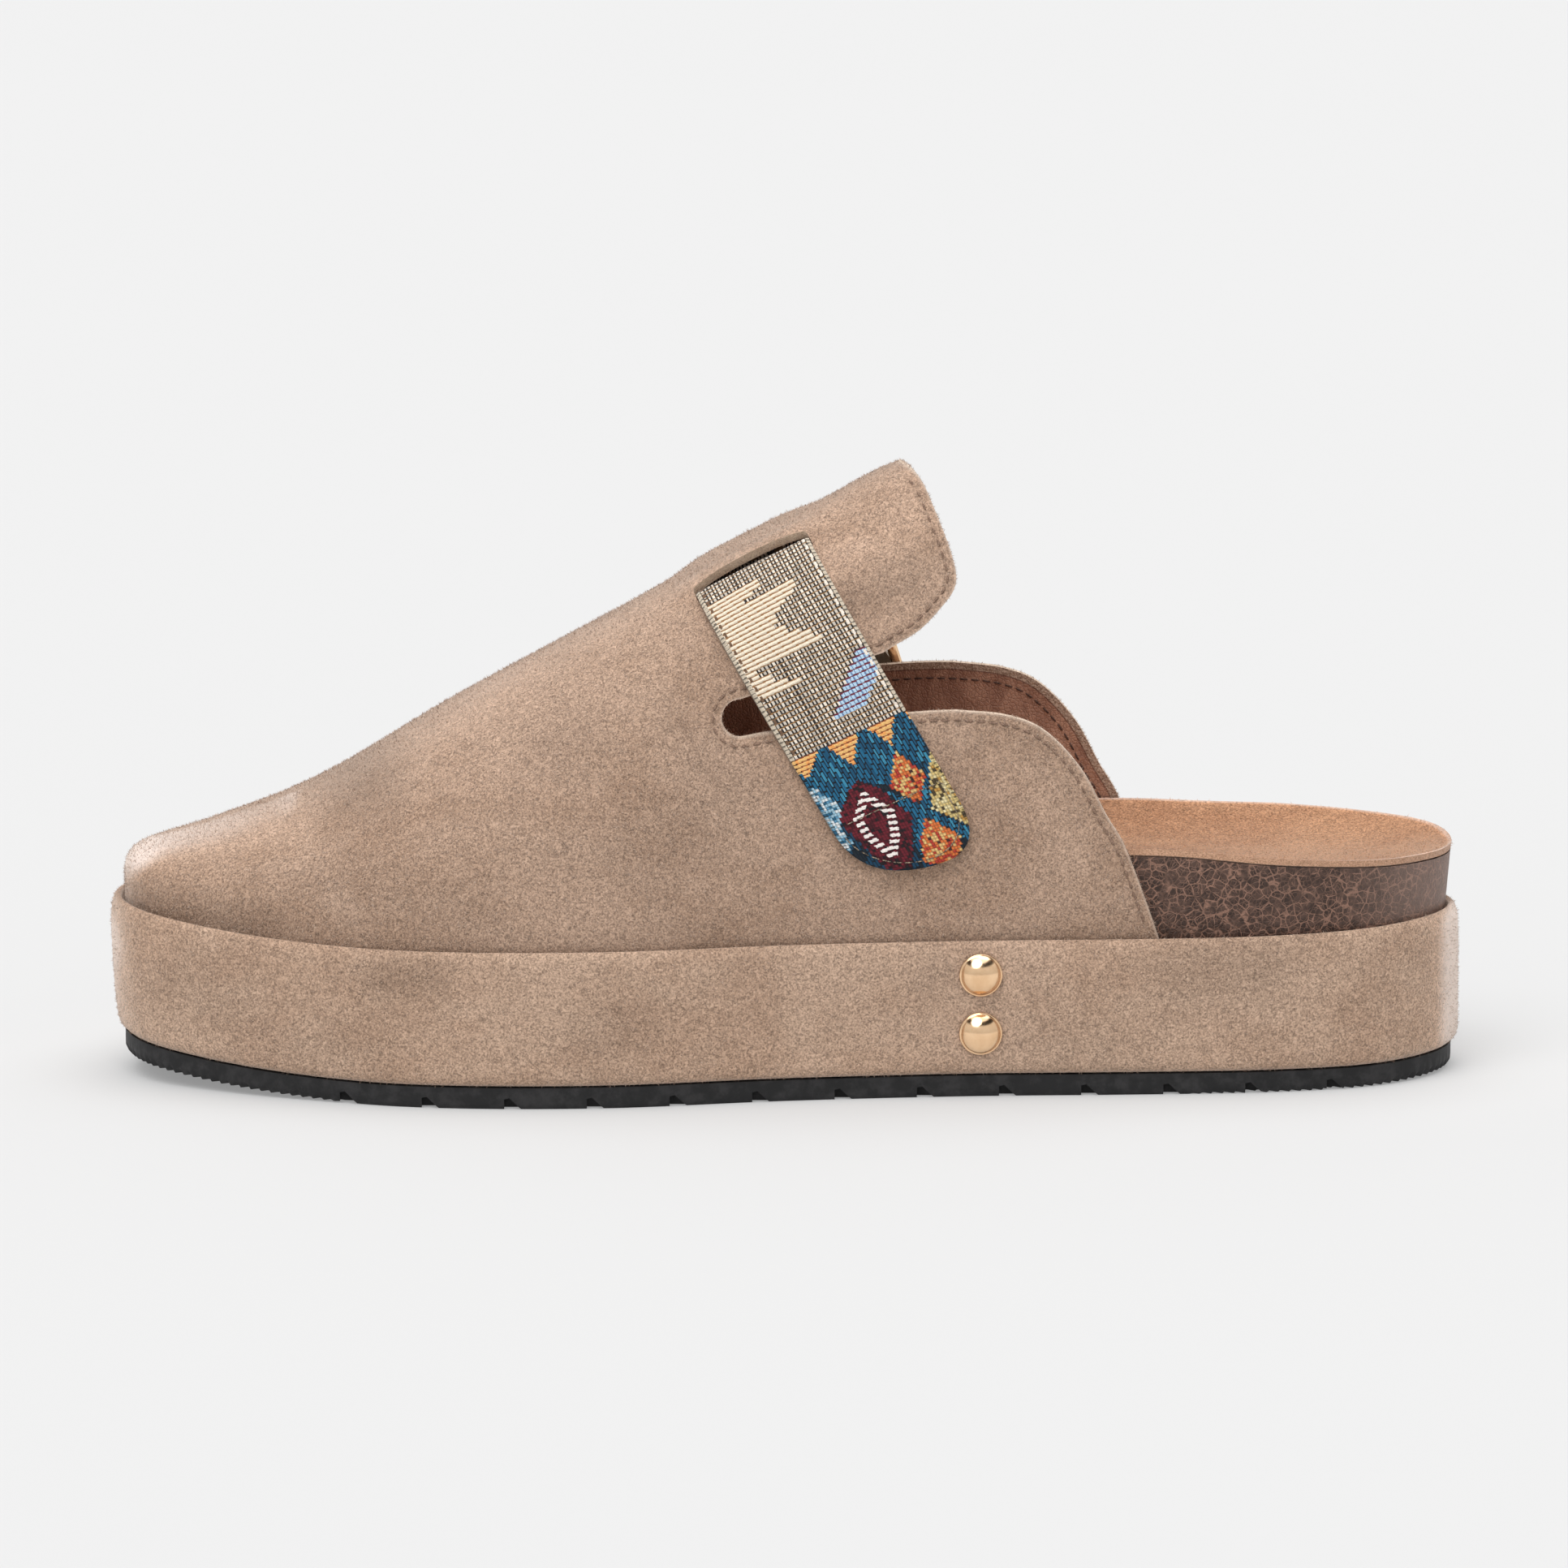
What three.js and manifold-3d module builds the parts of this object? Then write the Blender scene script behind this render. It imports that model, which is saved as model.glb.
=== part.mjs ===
// Platform mule for the right foot: a soft suede clog with a woven instep strap, standing empty.
// Millimetres. X runs from the toe (minus) to the heel (plus), Y from the inner side of the foot
// (minus) to the outer side (plus), and Z up from the ground.

import * as THREE from "three";
import { mergeVertices } from "three/addons/utils/BufferGeometryUtils.js";
import Module from "manifold-3d";

const wasm = await Module();
wasm.setup();

// Driving sizes of the sole
const LENGTH = 271;
const BALL_WIDTH = 97.4;
const HEEL_WIDTH = 68.5;
const OUTSOLE_THICKNESS = 4.4;
const PLATFORM_THICKNESS = 23.8;
const RIM_HEIGHT = 3.0;
const RIM_THICKNESS = 2.6;
const RIM_HEEL_RISE = 2.0;
const TOE_SPRING = 4.8;
const HEEL_LIFT = 0.8;
const TOE_LEAN = 1.4;
const OUTSOLE_INSET = 1.5;
const NOTCH_PITCH = 16.36;
const NOTCH_LENGTH = 3.4;
const NOTCH_HEIGHT = 2.3;
const NOTCH_DEPTH = 8;

// Driving sizes of the upper, heights from the seat of the platform
const UPPER_WALL = 2.0;
const INSTEP_HEIGHT = 94;
const COLLAR_HEIGHT = 48.5;
const THROAT_GAP = 7.3;
const FLAP_SKEW = 2.2;

// Driving sizes of the footbed and its lining
const INSOLE_THICKNESS = 1.5;
const HEEL_CUP_HEIGHT = 17.4;
const FOOTBED_TOP_INSET = 1.7;
const FOOTBED_FOOT_INSET = 3.2;

// Driving sizes of the strap, its buckle and the studs
const STRAP_WIDTH = 25;
const STRAP_THICKNESS = 1.5;
const STRAP_LEAN_INNER = 4.4;
const STRAP_LEAN_OUTER = -3.0;
const STRAP_END_LENGTH = 15;
const SLOT_DROP = 18;
const SLOT_OPENING = 9;
const SLOT_EXTRA_WIDTH = 2.2;
const BUCKLE_RISE = -3;
const BUCKLE_LENGTH = 22;
const BUCKLE_WIRE = 2.4;
const TAB_WIDTH = 20;
const TAB_LENGTH = 17;
const TAB_THICKNESS = 1.1;
const PRONG_WIRE = 1.9;
const PRONG_HOLE_LENGTH = 11;
const STUD_DIAMETER = 8.6;
const STUD_HEIGHT = 2.6;
const STUD_SPACING = 11.8;

// Air between pieces that touch
const GAP = 0.3;

// Steps of the curves
const SIDE_STEPS = 40;
const ARCH_STEPS = 26;
const BED_STEPS = 6;

// Heights that follow
const PLATFORM_FOOT = OUTSOLE_THICKNESS + GAP;
const SEAT = PLATFORM_FOOT + PLATFORM_THICKNESS;
const UPPER_INSET = RIM_THICKNESS + GAP;

// Outline of the sole seen from above. The angle runs from the toe (0) to the heel (180) along
// each side; inner and outer are shares of the ball width, or of the heel width from the waist on.
const OUTLINE = [
  { angle: 0, width: BALL_WIDTH, inner: 0.03, outer: -0.03 },
  { angle: 15, width: BALL_WIDTH, inner: 0.2, outer: 0.145 },
  { angle: 30, width: BALL_WIDTH, inner: 0.312, outer: 0.28 },
  { angle: 45, width: BALL_WIDTH, inner: 0.408, outer: 0.402 },
  { angle: 60, width: BALL_WIDTH, inner: 0.486, outer: 0.486 },
  { angle: 75, width: BALL_WIDTH, inner: 0.487, outer: 0.513 },
  { angle: 90, width: BALL_WIDTH, inner: 0.412, outer: 0.46 },
  { angle: 105, width: HEEL_WIDTH, inner: 0.518, outer: 0.562 },
  { angle: 120, width: HEEL_WIDTH, inner: 0.493, outer: 0.515 },
  { angle: 135, width: HEEL_WIDTH, inner: 0.46, outer: 0.482 },
  { angle: 150, width: HEEL_WIDTH, inner: 0.369, outer: 0.391 },
  { angle: 165, width: HEEL_WIDTH, inner: 0.197, outer: 0.222 },
  { angle: 180, width: HEEL_WIDTH, inner: -0.015, outer: 0.015 },
].map((row) => ({
  angle: row.angle,
  inner: row.inner * row.width,
  outer: row.outer * row.width,
}));

// Sections of the upper along the same angle: the ridge as a share of the instep height, and the
// fullness of the arch, where 2 is an ellipse and more is squarer.
const SECTIONS = [
  { angle: 0, ridge: 0, fullness: 2.5 },
  { angle: 5, ridge: 0.09, fullness: 2.5 },
  { angle: 10, ridge: 0.126, fullness: 2.55 },
  { angle: 15, ridge: 0.144, fullness: 2.6 },
  { angle: 22, ridge: 0.165, fullness: 2.6 },
  { angle: 30, ridge: 0.198, fullness: 2.5 },
  { angle: 45, ridge: 0.3, fullness: 2.35 },
  { angle: 60, ridge: 0.478, fullness: 2.25 },
  { angle: 75, ridge: 0.664, fullness: 2.2 },
  { angle: 90, ridge: 0.867, fullness: 2.15 },
  { angle: 105, ridge: 1.052, fullness: 2.15 },
  { angle: 120, ridge: 1.15, fullness: 2.1 },
  { angle: 150, ridge: 1.25, fullness: 2.1 },
];

// Top of the insole over the seat, as shares of the heel cup's height: along the middle, and at
// the inner and outer edges.
const BED = [
  { angle: 0, middle: 0.36, inner: 0.36, outer: 0.36 },
  { angle: 15, middle: 0.34, inner: 0.36, outer: 0.36 },
  { angle: 45, middle: 0.35, inner: 0.4, outer: 0.4 },
  { angle: 60, middle: 0.38, inner: 0.47, outer: 0.46 },
  { angle: 75, middle: 0.48, inner: 0.63, outer: 0.58 },
  { angle: 90, middle: 0.63, inner: 0.94, outer: 0.83 },
  { angle: 105, middle: 0.76, inner: 1.14, outer: 1.09 },
  { angle: 120, middle: 0.8, inner: 1.2, outer: 1.2 },
  { angle: 135, middle: 0.78, inner: 1.1, outer: 1.14 },
  { angle: 150, middle: 0.8, inner: 1.02, outer: 1.1 },
  { angle: 165, middle: 0.94, inner: 1, outer: 1.08 },
  { angle: 180, middle: 1, inner: 1, outer: 1 },
];

// Side of the wrapped platform, from its foot over the rounded lip to the inside of the rim:
// shares of the rim's thickness and of the side's height.
const WRAP_PROFILE = [
  { inset: 0.62, height: 0 },
  { inset: 0.2, height: 0.035 },
  { inset: 0.04, height: 0.11 },
  { inset: 0, height: 0.35 },
  { inset: 0, height: 0.72 },
  { inset: 0.1, height: 0.89 },
  { inset: 0.3, height: 0.965 },
  { inset: 0.6, height: 1 },
  { inset: 0.88, height: 0.985 },
  { inset: 1, height: 0.94 },
];

// Stations along the length, as shares of it from the middle
const TOE_SPRING_START = -0.28;
const HEEL_LIFT_START = 0.41;
const FIRST_NOTCH = -0.326;
const NOTCH_COUNT = 13;
const COLLAR_CREST = 0.125;
const QUARTER_END = 0.276;
const THROAT_FRONT = -0.033;
const STRAP_CROSSING = -0.0285;
const STUD_STATION = 0.143;

// Heights as shares of the collar's height, the throat cut's and the platform's side
const STRAP_END_RISE = 0.37;
const THROAT_DROP = 0.15;
const STUD_LEVEL = 0.535;

// Edge of the quarter behind its crest: shares of the way to its end and of the collar's height
const COLLAR_EDGE = [
  { along: 0, up: 1 },
  { along: 0.25, up: 0.978 },
  { along: 0.434, up: 0.913 },
  { along: 0.607, up: 0.759 },
  { along: 0.73, up: 0.569 },
  { along: 0.83, up: 0.42 },
  { along: 0.98, up: 0.074 },
  { along: 1.03, up: -0.1 },
];

// Edge of the tongue flap from its lower corner to its tip: shares of the length, and of the way
// from the top of the throat cut to the instep's height
const FLAP_EDGE = [
  { along: 0.0716, up: 0.205 },
  { along: 0.0804, up: 0.238 },
  { along: 0.0985, up: 0.307 },
  { along: 0.114, up: 0.405 },
  { along: 0.1235, up: 0.484 },
  { along: 0.1253, up: 0.563 },
  { along: 0.1202, up: 0.686 },
  { along: 0.1095, up: 0.856 },
  { along: 0.0982, up: 0.99 },
  { along: 0.0895, up: 1.1 },
];

const FULL_TURN = 360;
const HALF_TURN = 180;
const QUARTER_TURN = 90;
const radians = THREE.MathUtils.degToRad;
const lerp = THREE.MathUtils.lerp;
const smoothstep = THREE.MathUtils.smoothstep;
const vec = (x, y, z) => new THREE.Vector3(x, y, z);
const angleAt = (station) => THREE.MathUtils.radToDeg(Math.acos(-2 * station));

// Value of a column at a place between the rows of a table, on a smooth curve through them
function column(rows, key, name, at) {
  let i = 0;
  while (i < rows.length - 2 && at > rows[i + 1][key]) {
    i += 1;
  }
  const slope = (a, b) => (rows[b][name] - rows[a][name]) / (rows[b][key] - rows[a][key]);
  const tangent = (k) => {
    if (k === 0) {
      return slope(0, 1);
    }
    if (k === rows.length - 1) {
      return slope(k - 1, k);
    }
    return (slope(k - 1, k) + slope(k, k + 1)) / 2;
  };
  const step = rows[i + 1][key] - rows[i][key];
  const t = (at - rows[i][key]) / step;
  const t2 = t * t;
  const t3 = t2 * t;
  return (
    (2 * t3 - 3 * t2 + 1) * rows[i][name] +
    (t3 - 2 * t2 + t) * step * tangent(i) +
    (3 * t2 - 2 * t3) * rows[i + 1][name] +
    (t3 - t2) * step * tangent(i + 1)
  );
}

// Value in a range where a rising function reaches a target
function solve(rising, target, low, high) {
  let a = low;
  let b = high;
  for (let k = 0; k < 40; k += 1) {
    const middle = (a + b) / 2;
    if (rising(middle) < target) {
      a = middle;
    } else {
      b = middle;
    }
  }
  return (a + b) / 2;
}

// Rise of the toe off the ground, and of the heel's last stretch
function toeRise(x) {
  const start = TOE_SPRING_START * LENGTH;
  const share = Math.max(0, (start - x) / (start + LENGTH / 2));
  return TOE_SPRING * share ** 2;
}

function heelRise(x) {
  const start = HEEL_LIFT_START * LENGTH;
  const share = Math.max(0, (x - start) / (LENGTH / 2 - start));
  return HEEL_LIFT * share ** 2;
}

function rimTop(x) {
  const END_POWER = 6;
  return SEAT + RIM_HEIGHT + toeRise(x) + RIM_HEEL_RISE * Math.max(0, (2 * x) / LENGTH) ** END_POWER;
}

// Point of the sole's outline. A turn of 0 is the toe and 180 the heel along the inner side, and
// the turn goes on along the outer side; the point is moved inward by the inset.
function outlinePoint(turn) {
  const around = (turn + FULL_TURN) % FULL_TURN;
  const onInner = around <= HALF_TURN;
  const angle = onInner ? around : FULL_TURN - around;
  const y = onInner ? -column(OUTLINE, "angle", "inner", angle) : column(OUTLINE, "angle", "outer", angle);
  return vec((-LENGTH / 2) * Math.cos(radians(angle)), y, 0);
}

function outline(turn, inset) {
  const STEP = 1;
  const along = outlinePoint(turn + STEP).sub(outlinePoint(turn - STEP)).normalize();
  const outward = vec(along.y, -along.x, 0);
  return outlinePoint(turn).addScaledVector(outward, -inset);
}

function outlineSide(angle, outer, inset) {
  return outline(outer ? FULL_TURN - angle : angle, inset);
}

// Lean of the toe: the platform's foot lies further in than its rim there
function toeInset(x) {
  return TOE_LEAN * smoothstep(-x, -TOE_SPRING_START * LENGTH, LENGTH / 2);
}

// Solid from patches, each a grid of points whose rows times columns face out
function solidFrom(patches) {
  const positions = [];
  const push = (...corners) => corners.forEach((p) => positions.push(p.x, p.y, p.z));
  for (const grid of patches) {
    for (let i = 0; i + 1 < grid.length; i += 1) {
      for (let j = 0; j + 1 < grid[i].length; j += 1) {
        const [a, b, c, d] = [grid[i][j], grid[i + 1][j], grid[i + 1][j + 1], grid[i][j + 1]];
        push(a, b, c);
        push(a, c, d);
      }
    }
  }
  const loose = new THREE.BufferGeometry();
  loose.setAttribute("position", new THREE.Float32BufferAttribute(positions, 3));
  const merged = mergeVertices(loose, 1e-4);
  const index = merged.index.array;
  const kept = [];
  for (let k = 0; k < index.length; k += 3) {
    const [a, b, c] = [index[k], index[k + 1], index[k + 2]];
    if (a !== b && b !== c && c !== a) {
      kept.push(a, b, c);
    }
  }
  merged.setIndex(kept);
  return merged;
}

// The same grid facing the other way, with its quads split along the same diagonals
const flipped = (grid) => grid[0].map((_, j) => grid.map((row) => row[j]));

function toManifold(geometry) {
  const bare = geometry.clone();
  bare.deleteAttribute("normal");
  bare.deleteAttribute("uv");
  const merged = mergeVertices(bare, 1e-4);
  return new wasm.Manifold(
    new wasm.Mesh({
      numProp: 3,
      vertProperties: new Float32Array(merged.attributes.position.array),
      triVerts: new Uint32Array(merged.index.array),
    }),
  );
}

function toGeometry(manifold) {
  const mesh = manifold.getMesh();
  const geometry = new THREE.BufferGeometry();
  geometry.setAttribute("position", new THREE.BufferAttribute(mesh.vertProperties, 3));
  geometry.setIndex(new THREE.BufferAttribute(mesh.triVerts, 1));
  return geometry;
}

const range = (count) => Array.from({ length: count + 1 }, (_, k) => k / count);

// Extruded side-view or plan shape, centred on its own middle plane
function slab(shape, thickness, curveSegments = 4) {
  const options = { depth: thickness, bevelEnabled: false, curveSegments };
  return new THREE.ExtrudeGeometry(shape, options).translate(0, 0, -thickness / 2);
}

// Basis of three directions at a place, for geometry drawn along them
function placed(geometry, across, along, out, origin) {
  const frame = new THREE.Matrix4().makeBasis(across, along, out).setPosition(origin);
  return geometry.clone().applyMatrix4(frame);
}

// Upper: an arch over the outline at each angle, from the inner seat (arc 0) over the ridge (90)
// to the outer seat (180)
function upperPoint(angle, arc) {
  const inner = outlineSide(angle, false, UPPER_INSET);
  const outer = outlineSide(angle, true, UPPER_INSET);
  const power = 2 / column(SECTIONS, "angle", "fullness", angle);
  const cos = Math.cos(radians(arc));
  const across = -Math.sign(cos) * Math.abs(cos) ** power;
  const up = Math.abs(Math.sin(radians(arc))) ** power;
  const point = inner.clone().lerp(outer, (1 + across) / 2);
  const height = INSTEP_HEIGHT * column(SECTIONS, "angle", "ridge", angle);
  point.z = SEAT + GAP + toeRise(point.x) + height * up;
  return point;
}

function upperNormal(angle, arc) {
  const STEP = 0.6;
  if (angle < STEP) {
    return vec(-1, 0, 0);
  }
  const low = Math.max(arc - STEP, 0);
  const high = Math.min(arc + STEP, HALF_TURN);
  const forward = upperPoint(angle + STEP, arc).sub(upperPoint(angle - STEP, arc));
  const around = upperPoint(angle, high).sub(upperPoint(angle, low));
  return forward.cross(around).normalize();
}

function upperOffset(angle, arc, distance) {
  const point = upperPoint(angle, arc);
  const seat = point.z;
  const moved = point.addScaledVector(upperNormal(angle, arc), distance);
  if (arc <= 0 || arc >= HALF_TURN) {
    moved.z = seat;
  }
  return moved;
}

const sideAngles = range(SIDE_STEPS).map((share) => share * HALF_TURN);
const BEHIND_COLLAR = 0.012;
const backAngle = angleAt(QUARTER_END + BEHIND_COLLAR);
const upperAngles = sideAngles.filter((angle) => angle < backAngle + HALF_TURN / SIDE_STEPS);
const archArcs = range(ARCH_STEPS).map((share) => share * HALF_TURN);

function archShell(inside, outside) {
  const skin = (distance) =>
    upperAngles.map((angle) => archArcs.map((arc) => upperOffset(angle, arc, distance)));
  const outer = skin(outside);
  const inner = skin(-inside);
  const last = upperAngles.length - 1;
  const edge = (pick) => upperAngles.map((_, i) => [pick(inner[i]), pick(outer[i])]);
  return solidFrom([
    outer,
    flipped(inner),
    edge((row) => row[0]),
    flipped(edge((row) => row[ARCH_STEPS])),
    archArcs.map((_, j) => [inner[last][j], outer[last][j]]),
  ]);
}

// Edge of the tongue flap from its tip down, in side view
function flapEdge() {
  const top = SEAT + INSTEP_HEIGHT;
  const foot = SEAT + COLLAR_HEIGHT + THROAT_GAP * (0.5 - THROAT_DROP);
  const place = (row) => new THREE.Vector2(row.along * LENGTH, lerp(foot, top, row.up));
  return FLAP_EDGE.map(place).reverse();
}

// Side view of all that is cut from the shell: throat cut, collar and the open back
function openingShape() {
  const collarZ = SEAT + COLLAR_HEIGHT;
  const throatX = THROAT_FRONT * LENGTH;
  const throatZ = collarZ - THROAT_GAP * THROAT_DROP;
  const throatTop = throatZ + THROAT_GAP / 2;
  const throatFoot = throatZ - THROAT_GAP / 2;
  const crestX = COLLAR_CREST * LENGTH;
  const endX = QUARTER_END * LENGTH;
  const beyondX = LENGTH / 2 + INSTEP_HEIGHT;
  const beyondZ = SEAT + 2 * INSTEP_HEIGHT;
  const LOWER_EDGE_STEPS = 3;
  const shape = new THREE.Shape();
  shape.absarc(throatX, throatZ, THROAT_GAP / 2, Math.PI / 2, (3 * Math.PI) / 2, false);
  for (let k = 1; k < LOWER_EDGE_STEPS; k += 1) {
    const share = k / LOWER_EDGE_STEPS;
    shape.lineTo(lerp(throatX, crestX, share), lerp(throatFoot, collarZ, smoothstep(share, -0.2, 1)));
  }
  const collar = COLLAR_EDGE.map(
    (row) => new THREE.Vector2(lerp(crestX, endX, row.along), SEAT + row.up * COLLAR_HEIGHT),
  );
  shape.lineTo(collar[0].x, collar[0].y);
  shape.splineThru(collar.slice(1));
  shape.lineTo(collar.at(-1).x, 0);
  shape.lineTo(beyondX, 0);
  shape.lineTo(beyondX, beyondZ);
  const flap = flapEdge();
  shape.lineTo(flap[0].x, beyondZ);
  shape.lineTo(flap[0].x, flap[0].y);
  shape.splineThru(flap.slice(1));
  shape.lineTo(throatX, throatTop);
  return shape;
}

const EDGE_STEPS = 3;

function openingCut() {
  const cut = slab(openingShape(), 2 * BALL_WIDTH, EDGE_STEPS);
  return toManifold(cut.rotateX(Math.PI / 2));
}

// What is cut off the flap more on the outer side: its edge runs a little forward across the foot
function flapCut() {
  const flap = flapEdge();
  const beyondX = LENGTH / 2 + INSTEP_HEIGHT;
  const shape = new THREE.Shape();
  shape.moveTo(beyondX, SEAT + 2 * INSTEP_HEIGHT);
  shape.lineTo(flap[0].x, SEAT + 2 * INSTEP_HEIGHT);
  shape.lineTo(flap[0].x, flap[0].y);
  shape.splineThru(flap.slice(1));
  shape.lineTo(beyondX, flap.at(-1).y);
  const cut = slab(shape, 2 * BALL_WIDTH, EDGE_STEPS).rotateX(Math.PI / 2);
  const forward = -FLAP_SKEW / (BALL_WIDTH / 2);
  const skew = new THREE.Matrix4().makeShear(0, 0, forward, 0, 0, 0);
  return toManifold(cut.applyMatrix4(skew).translate(-FLAP_SKEW / 2, 0, 0));
}

// Strap: it follows the upper in rows parallel to the ridge, leaning a little on each side
const ridgeAngle = angleAt(STRAP_CROSSING);
const RIDGE_SPAN = 6;
const acrossStrap = upperPoint(ridgeAngle + RIDGE_SPAN, QUARTER_TURN)
  .sub(upperPoint(ridgeAngle - RIDGE_SPAN, QUARTER_TURN))
  .setY(0)
  .normalize();
const strapReach = upperPoint(ridgeAngle, QUARTER_TURN).dot(acrossStrap);

// Lowest arc of the upper that the strap reaches
const STRAP_LOWEST_ARC = 4;

function strapAngle(arc, across) {
  const ridge = upperPoint(ridgeAngle, QUARTER_TURN).z - SEAT;
  const down = 1 - (upperPoint(ridgeAngle, arc).z - SEAT) / ridge;
  const lean = (arc < QUARTER_TURN ? STRAP_LEAN_INNER : STRAP_LEAN_OUTER) * down;
  const target = strapReach + lean + across;
  const reach = (angle) => upperPoint(angle, arc).dot(acrossStrap);
  return solve(reach, target, SECTIONS[1].angle, SECTIONS.at(-1).angle);
}

function strapPoint(arc, across, out) {
  const angle = strapAngle(arc, across);
  return upperPoint(angle, arc).addScaledVector(upperNormal(angle, arc), out);
}

// Distance along the strap's middle from the ridge, inner side minus, for each arc
const strapMiddle = (() => {
  const STEP = 1;
  const rows = [];
  let run = 0;
  let last = null;
  for (let arc = STRAP_LOWEST_ARC; arc <= HALF_TURN - STRAP_LOWEST_ARC; arc += STEP) {
    const point = strapPoint(arc, 0, 0);
    run += last ? point.distanceTo(last) : 0;
    rows.push({ arc, run, height: point.z });
    last = point;
  }
  const ridge = column(rows, "arc", "run", QUARTER_TURN);
  return rows.map((row) => ({ ...row, run: row.run - ridge }));
})();
const arcAtRun = (run) => column(strapMiddle, "run", "arc", run);
const outerRows = strapMiddle.filter((row) => row.arc >= QUARTER_TURN);
const innerRows = strapMiddle.filter((row) => row.arc <= QUARTER_TURN);

// Run where the strap's middle comes down to a height, on the inner side or the outer one
function runAtHeight(outer, height) {
  const rows = outer ? outerRows : innerRows;
  const sign = outer ? 1 : -1;
  const longest = Math.abs(outer ? rows.at(-1).run : rows[0].run);
  return sign * solve((run) => -column(rows, "run", "height", sign * run), -height, 0, longest);
}

// Places along the strap: its round end, the two slots, and the buckle's bars
const endRun = runAtHeight(false, SEAT + STRAP_END_RISE * COLLAR_HEIGHT);
const slotTop = SLOT_DROP - SLOT_OPENING / 2;
const slotFoot = SLOT_DROP + SLOT_OPENING / 2;
const buckleRun = runAtHeight(true, SEAT + COLLAR_HEIGHT + BUCKLE_RISE);
const barReach = (BUCKLE_LENGTH - BUCKLE_WIRE) / 2;
const upperBarRun = buckleRun - barReach;
const lowerBarRun = buckleRun + barReach;
const strapLastRun = lowerBarRun + STRAP_END_LENGTH;

// Heights over the upper's surface, with room for the flats of its facets, and the part of the
// slot in which the strap rises through it
const FACET_ROOM = 0.18;
const strapRest = GAP + FACET_ROOM / 2;
const strapInside = -(UPPER_WALL + STRAP_THICKNESS + GAP + 2 * FACET_ROOM);
const wireRest = TAB_THICKNESS + 2 * GAP + FACET_ROOM + BUCKLE_WIRE / 2;
const strapOverTab = strapRest + TAB_THICKNESS + GAP;
const RISE_START = 0.15;
const RISE_END = 0.74;

function strapHeight(run) {
  const away = Math.abs(run);
  if (away < slotFoot) {
    const through = (away - slotTop) / SLOT_OPENING;
    return lerp(strapInside, strapRest, smoothstep(through, RISE_START, RISE_END));
  }
  if (run < upperBarRun + BUCKLE_WIRE) {
    return strapRest;
  }
  const nose = BUCKLE_WIRE / 2 + TAB_THICKNESS + GAP;
  const onto = smoothstep(run, upperBarRun + BUCKLE_WIRE, lowerBarRun - nose);
  const off = smoothstep(run, lowerBarRun + nose, strapLastRun);
  const overBar = lowerBarLift() + nose + 2 * GAP;
  return lerp(lerp(strapRest, overBar, onto), strapOverTab, off);
}

// Half of the strap's width, narrowing round at both ends
function strapHalf(run) {
  const END_FULLNESS = 2.5;
  const half = STRAP_WIDTH / 2;
  const fromEnd = Math.min(run - endRun, strapLastRun - run);
  const short = Math.max(0, 1 - fromEnd / half);
  return half * Math.max((1 - short ** END_FULLNESS) ** (1 / END_FULLNESS), 0.1);
}

// Band that lies on the upper: its runs, half width and underside's height, and its thickness
function bandSolid(runs, half, height, thickness) {
  const COLUMNS = 4;
  const last = runs.length - 1;
  const skin = (lift) =>
    runs.map((run) =>
      range(COLUMNS).map((share) => {
        const across = half(run) * (2 * share - 1);
        return strapPoint(arcAtRun(run), across, height(run) + lift);
      }),
    );
  const top = skin(thickness);
  const under = skin(0);
  const side = (j) => runs.map((_, i) => [under[i][j], top[i][j]]);
  const end = (i) => top[i].map((_, j) => [under[i][j], top[i][j]]);
  return solidFrom([
    flipped(top),
    under,
    flipped(side(0)),
    side(COLUMNS),
    end(0),
    flipped(end(last)),
  ]);
}

function strapGeometry() {
  const ROWS = 34;
  const END_ROWS = 5;
  const half = STRAP_WIDTH / 2;
  const round = range(END_ROWS).map((share) => half * (1 - Math.cos((share * Math.PI) / 2)));
  const straight = range(ROWS).map((share) => lerp(endRun + half, strapLastRun - half, share));
  const runs = [
    ...round.slice(0, -1).map((run) => endRun + run),
    ...straight,
    ...round.slice(0, -1).map((run) => strapLastRun - run).reverse(),
  ];
  const band = toManifold(bandSolid(runs, strapHalf, strapHeight, STRAP_THICKNESS));
  return toGeometry(band.subtract(strapHole()));
}

// Directions of the strap at a run: across it, down along it, and out of the upper
function strapFrame(run, out) {
  const REACH = 5;
  const arc = arcAtRun(run);
  const origin = strapPoint(arc, 0, out);
  const across = strapPoint(arc, REACH, 0).sub(strapPoint(arc, -REACH, 0)).normalize();
  const ahead = strapPoint(arcAtRun(run + REACH / 2), 0, 0);
  const behind = strapPoint(arcAtRun(run - REACH / 2), 0, 0);
  const along = ahead.sub(behind);
  const outward = across.clone().cross(along).normalize();
  along.copy(outward).cross(across).normalize();
  return { origin, across, along, outward };
}

function roundedRectangle(width, height, radius) {
  const x = width / 2;
  const y = height / 2;
  const r = radius;
  const shape = new THREE.Shape();
  shape.moveTo(-x + r, -y);
  shape.lineTo(x - r, -y);
  shape.absarc(x - r, -y + r, r, -Math.PI / 2, 0, false);
  shape.lineTo(x, y - r);
  shape.absarc(x - r, y - r, r, 0, Math.PI / 2, false);
  shape.lineTo(-x + r, y);
  shape.absarc(-x + r, y - r, r, Math.PI / 2, Math.PI, false);
  shape.lineTo(-x, -y + r);
  shape.absarc(-x + r, -y + r, r, Math.PI, 1.5 * Math.PI, false);
  return shape;
}

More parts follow.
